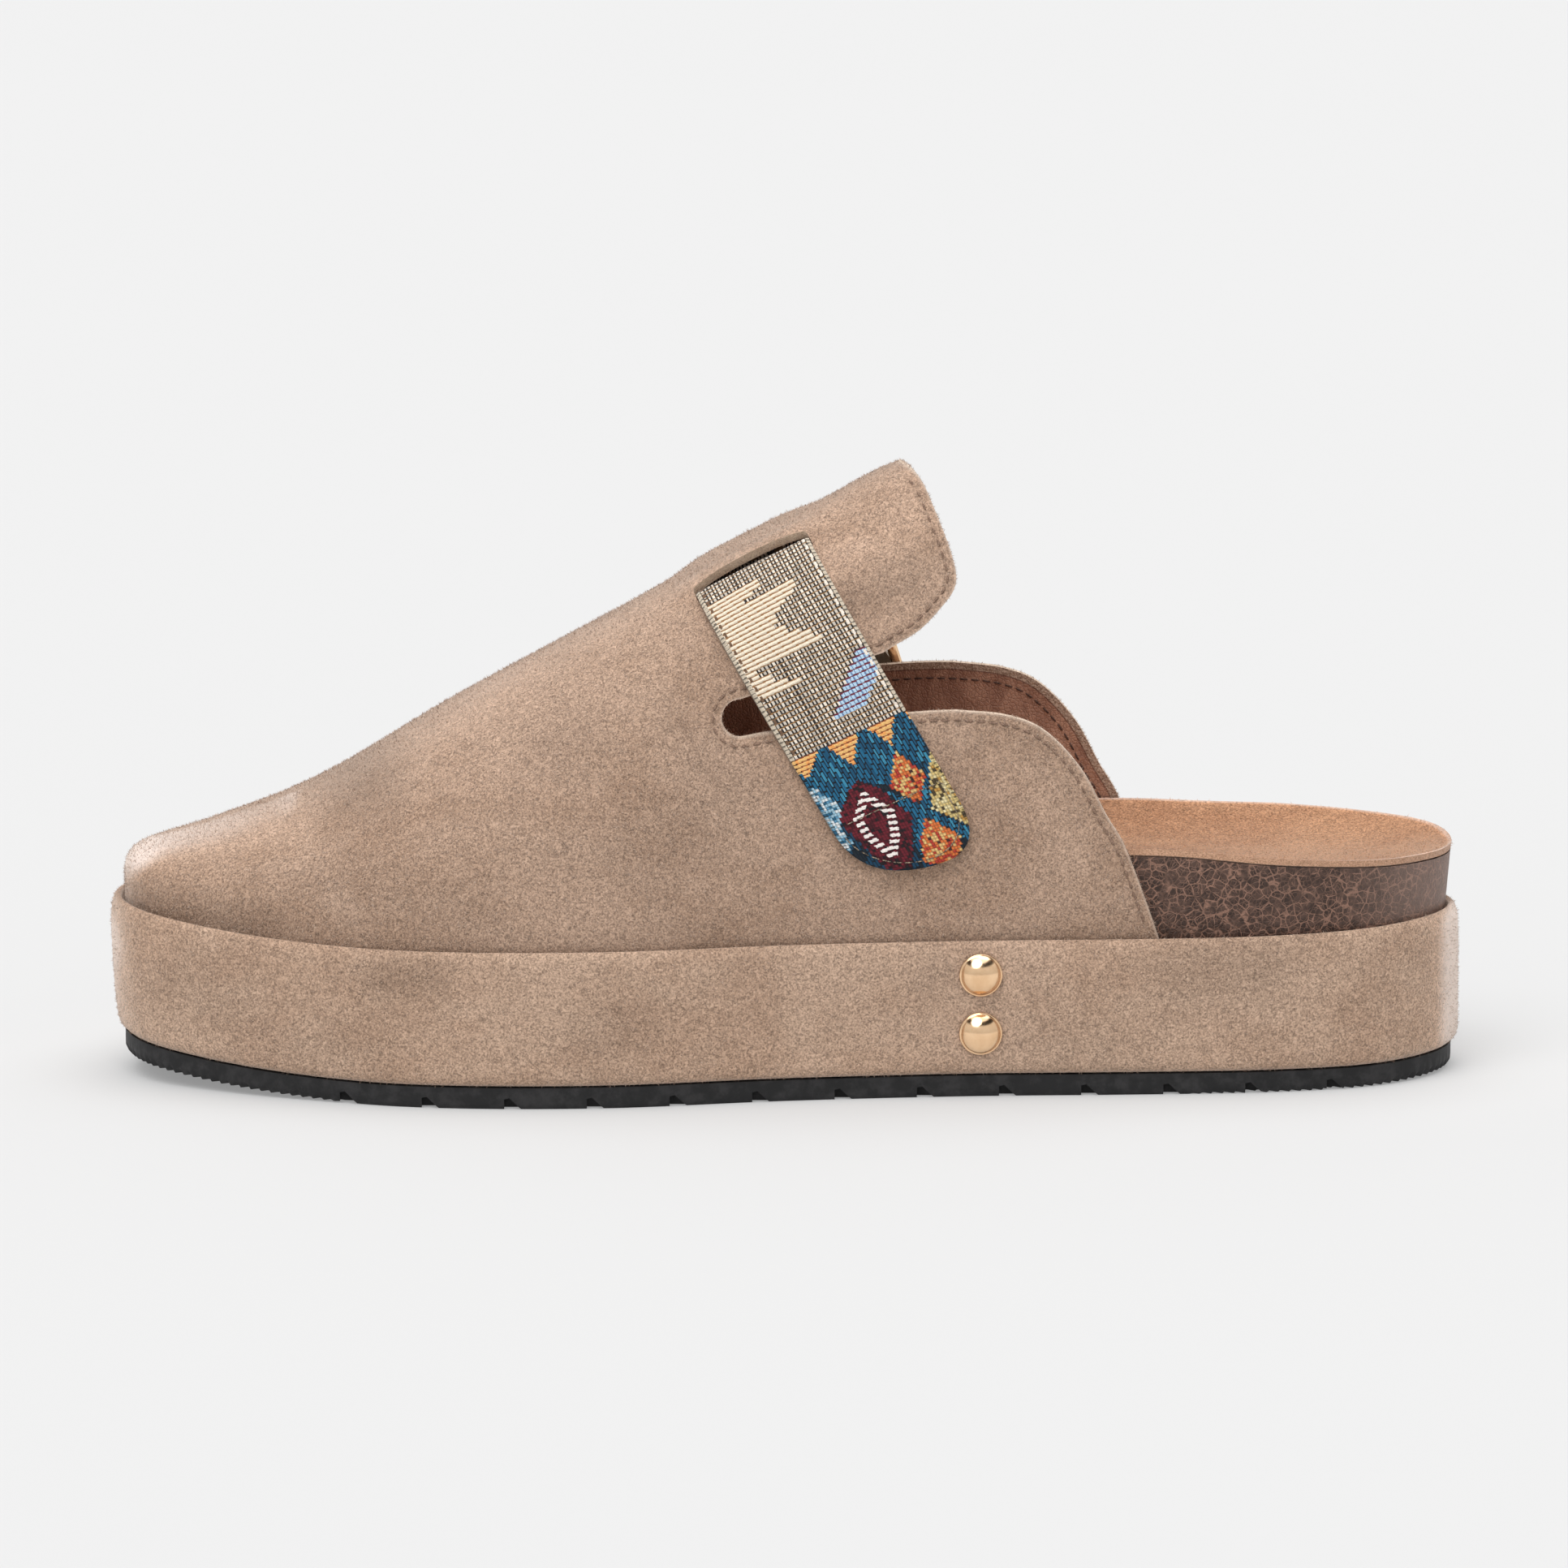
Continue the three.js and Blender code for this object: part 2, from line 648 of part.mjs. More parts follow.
// Slot through the upper where the strap dives under the tongue flap
function slotCut(side) {
  const CORNER_SHARE = 0.3;
  const { origin, across, along, outward } = strapFrame(side * SLOT_DROP, 0);
  const width = STRAP_WIDTH + SLOT_EXTRA_WIDTH;
  const shape = roundedRectangle(width, SLOT_OPENING, SLOT_OPENING * CORNER_SHARE);
  const depth = 8 * UPPER_WALL;
  return toManifold(placed(slab(shape, depth), across, along, outward, origin));
}

function upperGeometry() {
  const shell = toManifold(archShell(UPPER_WALL, 0));
  const cuts = [openingCut(), flapCut(), slotCut(-1), slotCut(1)];
  return toGeometry(cuts.reduce((left, cut) => left.subtract(cut), shell));
}

// Closed ring surface between two turns of the outline, and caps from side to side
function ringSides(rows) {
  return rows.map((row) => [...row, row[0]]);
}

function cap(row) {
  return range(SIDE_STEPS).map((_, i) => [row[i], row[(2 * SIDE_STEPS - i) % (2 * SIDE_STEPS)]]);
}

const ringTurns = range(2 * SIDE_STEPS).slice(0, -1).map((share) => share * FULL_TURN);

function ringRow(inset, height) {
  return ringTurns.map((turn) => {
    const point = outline(turn, inset(outlinePoint(turn).x));
    return point.setZ(height(point.x));
  });
}

function platformGeometry() {
  const foot = (x) => PLATFORM_FOOT + toeRise(x) + heelRise(x);
  const rows = WRAP_PROFILE.map((step) =>
    ringRow(
      (x) => step.inset * RIM_THICKNESS + toeInset(x) * (1 - step.height),
      (x) => lerp(foot(x), rimTop(x), step.height),
    ),
  );
  rows.push(ringRow(() => RIM_THICKNESS, (x) => SEAT + toeRise(x)));
  return solidFrom([flipped(ringSides(rows)), flipped(cap(rows[0])), cap(rows.at(-1))]);
}

function outsoleGeometry() {
  const CHAMFER = 0.5;
  const ground = (x) => toeRise(x) + heelRise(x);
  const side = (x) => OUTSOLE_INSET + toeInset(x);
  const rows = [
    ringRow((x) => side(x) + CHAMFER, ground),
    ringRow(side, (x) => ground(x) + CHAMFER),
    ringRow(side, (x) => ground(x) + OUTSOLE_THICKNESS),
  ];
  const body = toManifold(
    solidFrom([flipped(ringSides(rows)), flipped(cap(rows[0])), cap(rows.at(-1))]),
  );
  return toGeometry(notches().reduce((left, cut) => left.subtract(cut), body));
}

// Notches in both sides of the outsole: a steep front face and a ramp down to the rear
function notches() {
  const CREST = 0.3;
  const cuts = [];
  for (let k = 0; k < NOTCH_COUNT; k += 1) {
    const x = FIRST_NOTCH * LENGTH + k * NOTCH_PITCH;
    const ground = toeRise(x) + heelRise(x);
    const shape = new THREE.Shape();
    shape.moveTo(x, ground - NOTCH_HEIGHT);
    shape.lineTo(x + NOTCH_LENGTH, ground - NOTCH_HEIGHT);
    shape.lineTo(x + NOTCH_LENGTH, ground);
    shape.lineTo(x + NOTCH_LENGTH * CREST, ground + NOTCH_HEIGHT);
    shape.lineTo(x, ground + NOTCH_HEIGHT * 0.9);
    const angle = angleAt(x / LENGTH);
    for (const outer of [false, true]) {
      const edge = outlineSide(angle, outer, OUTSOLE_INSET).y;
      const cut = slab(shape, 2 * NOTCH_DEPTH).rotateX(Math.PI / 2).translate(0, edge, 0);
      cuts.push(toManifold(cut));
    }
  }
  return cuts;
}

// Footbed and insole: their sides keep clear of the upper's lining under the vamp, and stand out
// over the platform behind the quarters
const BED_START = 9;
const bedAngles = sideAngles.filter((angle) => angle >= BED_START);
const BEHIND_QUARTER = 14;

function bedSide(angle, outer, height, clearance) {
  const arcOf = (share) => (outer ? HALF_TURN - share : share);
  const lined = (share) => upperOffset(angle, arcOf(share), -(UPPER_WALL + clearance));
  const share = solve((s) => lined(s).z, height, 0.5, 80);
  const front = lined(share);
  const up = (height - SEAT) / HEEL_CUP_HEIGHT;
  const inset = lerp(FOOTBED_FOOT_INSET, FOOTBED_TOP_INSET, up) + clearance - GAP;
  const back = outlineSide(angle, outer, inset);
  const point = front.lerp(back, smoothstep(angle, backAngle, backAngle + BEHIND_QUARTER));
  return point.setZ(height);
}

function bedHeight(angle, name, drop) {
  const x = outlineSide(angle, false, 0).x;
  return SEAT + toeRise(x) + HEEL_CUP_HEIGHT * column(BED, "angle", name, angle) - drop;
}

// Row of the dished top from the inner edge to the outer one
function bedRow(angle, drop, clearance) {
  const DISH_POWER = 3;
  const innerEdge = bedSide(angle, false, bedHeight(angle, "inner", drop), clearance);
  const outerEdge = bedSide(angle, true, bedHeight(angle, "outer", drop), clearance);
  const middle = bedHeight(angle, "middle", drop);
  return range(BED_STEPS).map((share) => {
    const across = 2 * share - 1;
    const point = innerEdge.clone().lerp(outerEdge, share);
    const edge = across < 0 ? innerEdge.z : outerEdge.z;
    return point.setZ(lerp(middle, edge, Math.abs(across) ** DISH_POWER));
  });
}

// Solid between two sheets of rows, closed by its two sides and its front; the back is a point
function bedSolid(top, under) {
  const side = (j) => top.map((_, i) => [under[i][j], top[i][j]]);
  const front = top[0].map((_, j) => [under[0][j], top[0][j]]);
  return solidFrom([top, flipped(under), side(0), flipped(side(BED_STEPS)), flipped(front)]);
}

function footbedGeometry() {
  const drop = INSOLE_THICKNESS + GAP;
  const top = bedAngles.map((angle) => bedRow(angle, drop, GAP));
  const foot = bedAngles.map((angle) => {
    const seat = SEAT + GAP + toeRise(outlineSide(angle, false, 0).x);
    return range(BED_STEPS).map((share) =>
      bedSide(angle, false, seat, GAP).lerp(bedSide(angle, true, seat, GAP), share),
    );
  });
  return bedSolid(top, foot);
}

function insoleGeometry() {
  const top = bedAngles.map((angle) => bedRow(angle, 0, GAP));
  const under = bedAngles.map((angle) => bedRow(angle, INSOLE_THICKNESS, GAP));
  return bedSolid(top, under);
}

// Buckle frame: a wire ring in the shape of a rounded rectangle, around the strap
function wireRing(width, length, wire) {
  const SIDES = 8;
  const CORNER = 4.2;
  const centre = roundedRectangle(width, length, CORNER).getPoints(3);
  if (centre[0].distanceTo(centre.at(-1)) < 1e-6) {
    centre.pop();
  }
  const count = centre.length;
  const rows = centre.map((point, i) => {
    const next = centre[(i + 1) % count];
    const last = centre[(i + count - 1) % count];
    const along = next.clone().sub(last).normalize();
    const out = new THREE.Vector2(along.y, -along.x);
    return range(SIDES).map((share) => {
      const turn = share * 2 * Math.PI;
      const away = (Math.cos(turn) * wire) / 2;
      return vec(point.x + out.x * away, point.y + out.y * away, (Math.sin(turn) * wire) / 2);
    });
  });
  rows.push(rows[0]);
  return solidFrom([rows]);
}

const SIDE_PLAY = 1.1;
const buckle = strapFrame(buckleRun, 0);

// Height of the buckle's plane over the point of the upper behind its middle
function buckleLift() {
  const lower = strapPoint(arcAtRun(lowerBarRun), 0, wireRest);
  const overStrap = strapRest + STRAP_THICKNESS + GAP + 2 * FACET_ROOM + BUCKLE_WIRE / 2;
  const upper = strapPoint(arcAtRun(upperBarRun), 0, overStrap);
  const lift = (point) => point.sub(buckle.origin).dot(buckle.outward);
  return Math.max(lift(lower), lift(upper), wireRest);
}

const buckleCentre = buckle.origin.clone().addScaledVector(buckle.outward, buckleLift());
const lowerBar = buckleCentre.clone().addScaledVector(buckle.along, barReach);

function lowerBarLift() {
  const under = strapFrame(lowerBarRun, 0);
  return lowerBar.clone().sub(under.origin).dot(under.outward);
}

function buckleFrameGeometry() {
  const width = STRAP_WIDTH + 2 * SIDE_PLAY + BUCKLE_WIRE;
  const ring = wireRing(width, BUCKLE_LENGTH - BUCKLE_WIRE, BUCKLE_WIRE);
  return placed(ring, buckle.across, buckle.along, buckle.outward, buckleCentre);
}

// Tab that holds the buckle: a band sewn to the quarter and folded round the buckle's lower bar
function tabGeometry() {
  const ROWS = 6;
  const hole = BUCKLE_WIRE / 2 + GAP;
  const nose = hole + TAB_THICKNESS;
  const fold = new THREE.Shape().absarc(0, 0, nose, 0, 2 * Math.PI, false);
  fold.holes.push(new THREE.Path().absarc(0, 0, hole, 0, 2 * Math.PI, true));
  const roll = placed(slab(fold, TAB_WIDTH), buckle.along, buckle.outward, buckle.across, lowerBar);
  const runs = range(ROWS).map((share) => lowerBarRun + share * TAB_LENGTH);
  const band = bandSolid(runs, () => TAB_WIDTH / 2, () => strapRest, TAB_THICKNESS);
  const slit = new THREE.BoxGeometry(PRONG_WIRE + 4 * GAP, 2.2 * nose, 3 * nose);
  const slitCut = placed(slit, buckle.across, buckle.along, buckle.outward, lowerBar);
  return toGeometry(toManifold(roll).add(toManifold(band)).subtract(toManifold(slitCut)));
}

// Prong: hooked round the lower bar, up through the strap and at rest on the upper bar
function prongGeometry() {
  const rise = BUCKLE_WIRE / 2 + GAP + PRONG_WIRE / 2;
  const steps = [
    { along: barReach + rise * 0.08, out: -rise },
    { along: barReach - rise * 0.75, out: -rise * 0.7 },
    { along: barReach - rise * 1.25, out: rise * 0.04 },
    { along: barReach * 0.2, out: rise * 0.9 },
    { along: -barReach * 0.5, out: rise * 1.05 },
    { along: -barReach - BUCKLE_WIRE * 0.8, out: rise },
  ];
  const place = (step) =>
    buckleCentre
      .clone()
      .addScaledVector(buckle.along, step.along)
      .addScaledVector(buckle.outward, step.out);
  const path = new THREE.CatmullRomCurve3(steps.map(place));
  const round = new THREE.Shape().absarc(0, 0, PRONG_WIRE / 2, 0, 2 * Math.PI, false);
  return new THREE.ExtrudeGeometry(round, { steps: 14, extrudePath: path, curveSegments: 4 });
}

// Hole in the strap for the prong
function strapHole() {
  const shape = roundedRectangle(PRONG_WIRE + 4 * GAP, PRONG_HOLE_LENGTH, PRONG_WIRE / 2);
  const through = slab(shape, 6 * STRAP_THICKNESS + BUCKLE_WIRE);
  return toManifold(placed(through, buckle.across, buckle.along, buckle.outward, buckleCentre));
}

// Dome stud on the inner side of the platform
function studGeometry(height) {
  const radius = STUD_DIAMETER / 2;
  const EDGE = 0.5;
  const profile = [new THREE.Vector2(0, 0), new THREE.Vector2(radius, 0)];
  for (const share of range(5)) {
    const turn = (share * Math.PI) / 2;
    const up = EDGE + (STUD_HEIGHT - EDGE) * Math.sin(turn);
    profile.push(new THREE.Vector2(share < 1 ? radius * Math.cos(turn) : 0, up));
  }
  const dome = new THREE.LatheGeometry(profile, 16);
  const angle = angleAt(STUD_STATION);
  const origin = outlineSide(angle, false, -GAP).setZ(height);
  const inside = outlineSide(angle, false, 1).setZ(height);
  const outward = origin.clone().sub(inside).normalize();
  const up = vec(0, 0, 1);
  return placed(dome, up.clone().cross(outward).negate(), outward, up, origin);
}

const part = new THREE.Group();

function add(name, geometry, color, roughness, metalness) {
  const material = new THREE.MeshStandardMaterial({ color, roughness, metalness });
  const mesh = new THREE.Mesh(geometry, material);
  mesh.name = name;
  part.add(mesh);
}

const SUEDE = 0xb09583;
const GOLD = 0xe0b078;
const studMiddle = PLATFORM_FOOT + (PLATFORM_THICKNESS + RIM_HEIGHT) * STUD_LEVEL;

add("outsole", outsoleGeometry(), 0x2b2a2b, 0.75, 0);
add("platform", platformGeometry(), SUEDE, 0.95, 0);
add("footbed", footbedGeometry(), 0x5d4a42, 0.8, 0);
add("insole", insoleGeometry(), 0xc79670, 0.95, 0);
add("upper", upperGeometry(), SUEDE, 0.95, 0);
add("strap", strapGeometry(), 0x7d6f60, 0.85, 0);
add("buckle_frame", buckleFrameGeometry(), GOLD, 0.25, 1);
add("buckle_prong", prongGeometry(), GOLD, 0.25, 1);
add("buckle_tab", tabGeometry(), SUEDE, 0.95, 0);
add("stud_upper", studGeometry(studMiddle + STUD_SPACING / 2), GOLD, 0.25, 1);
add("stud_lower", studGeometry(studMiddle - STUD_SPACING / 2), GOLD, 0.25, 1);

export default part;
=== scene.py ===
"""Looks of the platform mule: suede, cork, rubber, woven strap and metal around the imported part."""

import math

import bmesh
import bpy
import numpy as np
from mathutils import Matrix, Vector
from mathutils.bvhtree import BVHTree


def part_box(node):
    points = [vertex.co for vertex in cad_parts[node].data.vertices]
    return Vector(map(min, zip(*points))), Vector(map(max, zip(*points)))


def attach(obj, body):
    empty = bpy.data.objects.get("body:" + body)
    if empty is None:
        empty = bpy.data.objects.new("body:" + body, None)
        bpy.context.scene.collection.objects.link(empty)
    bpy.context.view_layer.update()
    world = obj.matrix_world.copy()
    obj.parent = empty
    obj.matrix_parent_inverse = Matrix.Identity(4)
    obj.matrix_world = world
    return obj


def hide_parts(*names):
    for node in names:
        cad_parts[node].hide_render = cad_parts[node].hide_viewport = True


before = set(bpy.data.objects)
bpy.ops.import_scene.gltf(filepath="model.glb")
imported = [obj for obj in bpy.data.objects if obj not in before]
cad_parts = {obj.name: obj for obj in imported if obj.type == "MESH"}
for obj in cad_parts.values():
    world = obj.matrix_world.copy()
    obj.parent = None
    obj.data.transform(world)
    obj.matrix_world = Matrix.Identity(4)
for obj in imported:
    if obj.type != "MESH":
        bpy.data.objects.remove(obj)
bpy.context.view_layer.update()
rng = np.random.default_rng(7)
MM = 0.001

# Sizes in millimetres, as in the part's source
LENGTH = 271
BALL_WIDTH = 97.4
HEEL_WIDTH = 68.5
OUTSOLE_THICKNESS = 4.4
PLATFORM_THICKNESS = 23.8
RIM_HEIGHT = 3.0
RIM_THICKNESS = 2.6
RIM_HEEL_RISE = 2.0
TOE_SPRING = 4.8
HEEL_LIFT = 0.8
TOE_LEAN = 1.4
OUTSOLE_INSET = 1.5
NOTCH_PITCH = 16.36
NOTCH_LENGTH = 3.4
NOTCH_HEIGHT = 2.3
UPPER_WALL = 2.0
INSTEP_HEIGHT = 94
COLLAR_HEIGHT = 48.5
THROAT_GAP = 7.3
FLAP_SKEW = 2.2
INSOLE_THICKNESS = 1.5
HEEL_CUP_HEIGHT = 17.4
FOOTBED_TOP_INSET = 1.7
FOOTBED_FOOT_INSET = 3.2
STRAP_WIDTH = 25
STRAP_THICKNESS = 1.5
STRAP_LEAN_INNER = 4.4
STRAP_LEAN_OUTER = -3.0
STRAP_END_LENGTH = 15
SLOT_DROP = 18
SLOT_OPENING = 9
BUCKLE_RISE = -3
BUCKLE_LENGTH = 22
BUCKLE_WIRE = 2.4
TAB_THICKNESS = 1.1
GAP = 0.3
PLATFORM_FOOT = OUTSOLE_THICKNESS + GAP
SEAT = PLATFORM_FOOT + PLATFORM_THICKNESS
UPPER_INSET = RIM_THICKNESS + GAP
TOE_SPRING_START = -0.28 * LENGTH
HEEL_LIFT_START = 0.41 * LENGTH
FIRST_NOTCH = -0.326 * LENGTH
NOTCH_COUNT = 13
COLLAR_CREST = 0.125 * LENGTH
QUARTER_END = 0.276 * LENGTH
THROAT_FRONT = -0.033 * LENGTH
STRAP_CROSSING = -0.0285
STRAP_END_RISE = 0.37
THROAT_DROP = 0.15

# Columns: angle, inner share, outer share of the ball width, then of the heel width
BALL_OUTLINE = [(0, 0.03, -0.03), (15, 0.2, 0.145), (30, 0.312, 0.28), (45, 0.408, 0.402),
                (60, 0.486, 0.486), (75, 0.487, 0.513), (90, 0.412, 0.46)]
HEEL_OUTLINE = [(105, 0.518, 0.562), (120, 0.493, 0.515), (135, 0.46, 0.482), (150, 0.369, 0.391),
                (165, 0.197, 0.222), (180, -0.015, 0.015)]
OUTLINE = np.array([(a, i * BALL_WIDTH, o * BALL_WIDTH) for a, i, o in BALL_OUTLINE]
                   + [(a, i * HEEL_WIDTH, o * HEEL_WIDTH) for a, i, o in HEEL_OUTLINE])
# Columns: angle, ridge share, fullness
SECTIONS = np.array([(0, 0, 2.5), (5, 0.09, 2.5), (10, 0.126, 2.55), (15, 0.144, 2.6), (22, 0.165, 2.6),
                     (30, 0.198, 2.5), (45, 0.3, 2.35), (60, 0.478, 2.25), (75, 0.664, 2.2),
                     (90, 0.867, 2.15), (105, 1.052, 2.15), (120, 1.15, 2.1), (150, 1.25, 2.1)])
# Columns: angle, middle, inner edge, outer edge
BED = np.array([(0, 0.36, 0.36, 0.36), (15, 0.34, 0.36, 0.36), (45, 0.35, 0.4, 0.4), (60, 0.38, 0.47, 0.46),
                (75, 0.48, 0.63, 0.58), (90, 0.63, 0.94, 0.83), (105, 0.76, 1.14, 1.09), (120, 0.8, 1.2, 1.2),
                (135, 0.78, 1.1, 1.14), (150, 0.8, 1.02, 1.1), (165, 0.94, 1, 1.08), (180, 1, 1, 1)])
# Columns: inset share, height share
WRAP_PROFILE = np.array([(0.62, 0), (0.2, 0.035), (0.04, 0.11), (0, 0.35), (0, 0.72), (0.1, 0.89),
                         (0.3, 0.965), (0.6, 1), (0.88, 0.985), (1, 0.94)])
COLLAR_EDGE = [(0, 1), (0.25, 0.978), (0.434, 0.913), (0.607, 0.759), (0.73, 0.569), (0.83, 0.42),
               (0.98, 0.074), (1.03, -0.1)]
FLAP_EDGE = [(0.0716, 0.205), (0.0804, 0.238), (0.0985, 0.307), (0.114, 0.405), (0.1235, 0.484),
             (0.1253, 0.563), (0.1202, 0.686), (0.1095, 0.856), (0.1045, 0.925), (0.0988, 0.97),
             (0.0925, 0.995), (0.084, 1.005), (0.06, 1.03)]


def curve(keys, values, at):
    """Smooth curve through the rows of a table."""
    keys, values, at = np.asarray(keys, float), np.asarray(values, float), np.asarray(at, float)
    slopes = np.diff(values) / np.diff(keys)
    tangents = np.concatenate([slopes[:1], (slopes[:-1] + slopes[1:]) / 2, slopes[-1:]])
    i = np.clip(np.searchsorted(keys, at, side="left") - 1, 0, len(keys) - 2)
    step = keys[i + 1] - keys[i]
    t = (at - keys[i]) / step
    return ((2 * t**3 - 3 * t**2 + 1) * values[i] + (t**3 - 2 * t**2 + t) * step * tangents[i]
            + (3 * t**2 - 2 * t**3) * values[i + 1] + (t**3 - t**2) * step * tangents[i + 1])


def smooth(x, low, high):
    t = np.clip((np.asarray(x, float) - low) / (high - low), 0, 1)
    return t * t * (3 - 2 * t)


def bisect(low, high, shape, short, steps):
    """Places between low and high where short stops being true."""
    low, high = np.full(shape, low), np.full(shape, high)
    for _ in range(steps):
        middle = (low + high) / 2
        under = short(middle)
        low, high = np.where(under, middle, low), np.where(under, high, middle)
    return (low + high) / 2


def unit(v):
    return v / np.maximum(np.linalg.norm(v, axis=-1, keepdims=True), 1e-12)


def stack(x, y, z):
    return np.stack(np.broadcast_arrays(x, y, z), axis=-1).astype(float)


def angle_at(station):
    return math.degrees(math.acos(-2 * station))


def toe_rise(x):
    return TOE_SPRING * np.maximum(0, (TOE_SPRING_START - x) / (TOE_SPRING_START + LENGTH / 2)) ** 2


def heel_rise(x):
    return HEEL_LIFT * np.maximum(0, (x - HEEL_LIFT_START) / (LENGTH / 2 - HEEL_LIFT_START)) ** 2


def rim_top(x):
    return SEAT + RIM_HEIGHT + toe_rise(x) + RIM_HEEL_RISE * np.maximum(0, 2 * x / LENGTH) ** 6


def toe_inset(x):
    return TOE_LEAN * smooth(-x, -TOE_SPRING_START, LENGTH / 2)


def outline_point(turn):
    around = np.mod(np.asarray(turn, float) + 360, 360)
    inner = around <= 180
    angle = np.where(inner, around, 360 - around)
    inner_y, outer_y = (curve(OUTLINE[:, 0], OUTLINE[:, side], angle) for side in (1, 2))
    y = np.where(inner, -inner_y, outer_y)
    return stack(-LENGTH / 2 * np.cos(np.radians(angle)), y, 0)


def outline(turn, inset):
    along = unit(outline_point(turn + 1) - outline_point(turn - 1))
    outward = stack(along[..., 1], -along[..., 0], 0)
    return outline_point(turn) - outward * np.asarray(inset, float)[..., None]


def outline_side(angle, outer, inset):
    return outline(360 - angle if outer else angle, inset)


def upper_point(angle, arc):
    angle, arc = np.broadcast_arrays(np.asarray(angle, float), np.asarray(arc, float))
    inner, outer = outline_side(angle, False, UPPER_INSET), outline_side(angle, True, UPPER_INSET)
    power = 2 / curve(SECTIONS[:, 0], SECTIONS[:, 2], angle)
    cos, sin = np.cos(np.radians(arc)), np.sin(np.radians(arc))
    across = -np.sign(cos) * np.abs(cos) ** power
    point = inner + (outer - inner) * ((1 + across) / 2)[..., None]
    height = INSTEP_HEIGHT * curve(SECTIONS[:, 0], SECTIONS[:, 1], angle)
    point[..., 2] = SEAT + GAP + toe_rise(point[..., 0]) + height * np.abs(sin) ** power
    return point


def upper_normal(angle, arc):
    step = 0.6
    forward = upper_point(angle + step, arc) - upper_point(angle - step, arc)
    around = upper_point(angle, np.minimum(arc + step, 180)) - upper_point(angle, np.maximum(arc - step, 0))
    normal = unit(np.cross(forward, around))
    return np.where(np.asarray(angle < step)[..., None], np.array([-1.0, 0, 0]), normal)


def upper_offset(angle, arc, distance):
    angle, arc = np.broadcast_arrays(np.asarray(angle, float), np.asarray(arc, float))
    point = upper_point(angle, arc)
    moved = point + upper_normal(angle, arc) * np.asarray(distance, float)[..., None]
    at_seat = (arc <= 1e-9) | (arc >= 180 - 1e-9)
    moved[..., 2] = np.where(at_seat, point[..., 2], moved[..., 2])
    return moved


# Strap: places along it are runs from the ridge, minus on the inner side
RIDGE_ANGLE = angle_at(STRAP_CROSSING)
across_strap = upper_point(RIDGE_ANGLE + 6, 90) - upper_point(RIDGE_ANGLE - 6, 90)
across_strap[1] = 0
across_strap = unit(across_strap)
strap_reach = upper_point(RIDGE_ANGLE, 90) @ across_strap


def strap_angle(arc, across):
    arc, across = np.broadcast_arrays(np.asarray(arc, float), np.asarray(across, float))
    ridge = upper_point(RIDGE_ANGLE, 90)[2] - SEAT
    down = 1 - (upper_point(RIDGE_ANGLE, arc)[..., 2] - SEAT) / ridge
    target = strap_reach + np.where(arc < 90, STRAP_LEAN_INNER, STRAP_LEAN_OUTER) * down + across
    return bisect(5.0, 150.0, arc.shape, lambda angle: upper_point(angle, arc) @ across_strap < target, 26)


def strap_point(arc, across, out):
    angle = strap_angle(arc, across)
    arc = np.broadcast_to(arc, angle.shape)
    return upper_point(angle, arc) + upper_normal(angle, arc) * np.asarray(out, float)[..., None]


ARCS = np.arange(4.0, 177.0)
MIDDLE = strap_point(ARCS, 0.0, 0.0)
RUNS = np.concatenate([[0], np.cumsum(np.linalg.norm(np.diff(MIDDLE, axis=0), axis=1))])
RUNS -= np.interp(90, ARCS, RUNS)


def arc_at(run):
    return np.interp(run, RUNS, ARCS)


def run_at_height(outer, height):
    rows = ARCS >= 90 if outer else ARCS <= 90
    order = np.argsort(MIDDLE[rows, 2])
    return float(np.interp(height, MIDDLE[rows, 2][order], RUNS[rows][order]))


END_RUN = run_at_height(False, SEAT + STRAP_END_RISE * COLLAR_HEIGHT)
SLOT_TOP = SLOT_DROP - SLOT_OPENING / 2
BUCKLE_RUN = run_at_height(True, SEAT + COLLAR_HEIGHT + BUCKLE_RISE)
BAR_REACH = (BUCKLE_LENGTH - BUCKLE_WIRE) / 2
UPPER_BAR_RUN = BUCKLE_RUN - BAR_REACH
LOWER_BAR_RUN = BUCKLE_RUN + BAR_REACH
LAST_RUN = LOWER_BAR_RUN + STRAP_END_LENGTH
FACET_ROOM = 0.18
STRAP_REST = GAP + FACET_ROOM / 2
STRAP_INSIDE = -(UPPER_WALL + STRAP_THICKNESS + GAP + 2 * FACET_ROOM)
WIRE_REST = TAB_THICKNESS + 2 * GAP + FACET_ROOM + BUCKLE_WIRE / 2


def strap_frame(run, out=0.0):
    """Origin and the directions across, along and out of the upper at a run."""
    reach = 5
    arc = arc_at(run)
    origin = strap_point(arc, 0.0, out)
    across = unit(strap_point(arc, float(reach), 0.0) - strap_point(arc, -float(reach), 0.0))
    along = strap_point(arc_at(run + reach / 2), 0.0, 0.0) - strap_point(arc_at(run - reach / 2), 0.0, 0.0)
    outward = unit(np.cross(across, along))
    return origin, across, unit(np.cross(outward, across)), outward


def lower_bar_lift():
    origin, across, along, outward = strap_frame(BUCKLE_RUN)
    over = STRAP_REST + STRAP_THICKNESS + GAP + 2 * FACET_ROOM + BUCKLE_WIRE / 2
    lower = (strap_point(arc_at(LOWER_BAR_RUN), 0.0, WIRE_REST) - origin) @ outward
    upper = (strap_point(arc_at(UPPER_BAR_RUN), 0.0, over) - origin) @ outward
    bar = origin + outward * max(lower, upper, WIRE_REST) + along * BAR_REACH
    under, _, _, out = strap_frame(LOWER_BAR_RUN)
    return float((bar - under) @ out)


BAR_LIFT = lower_bar_lift()


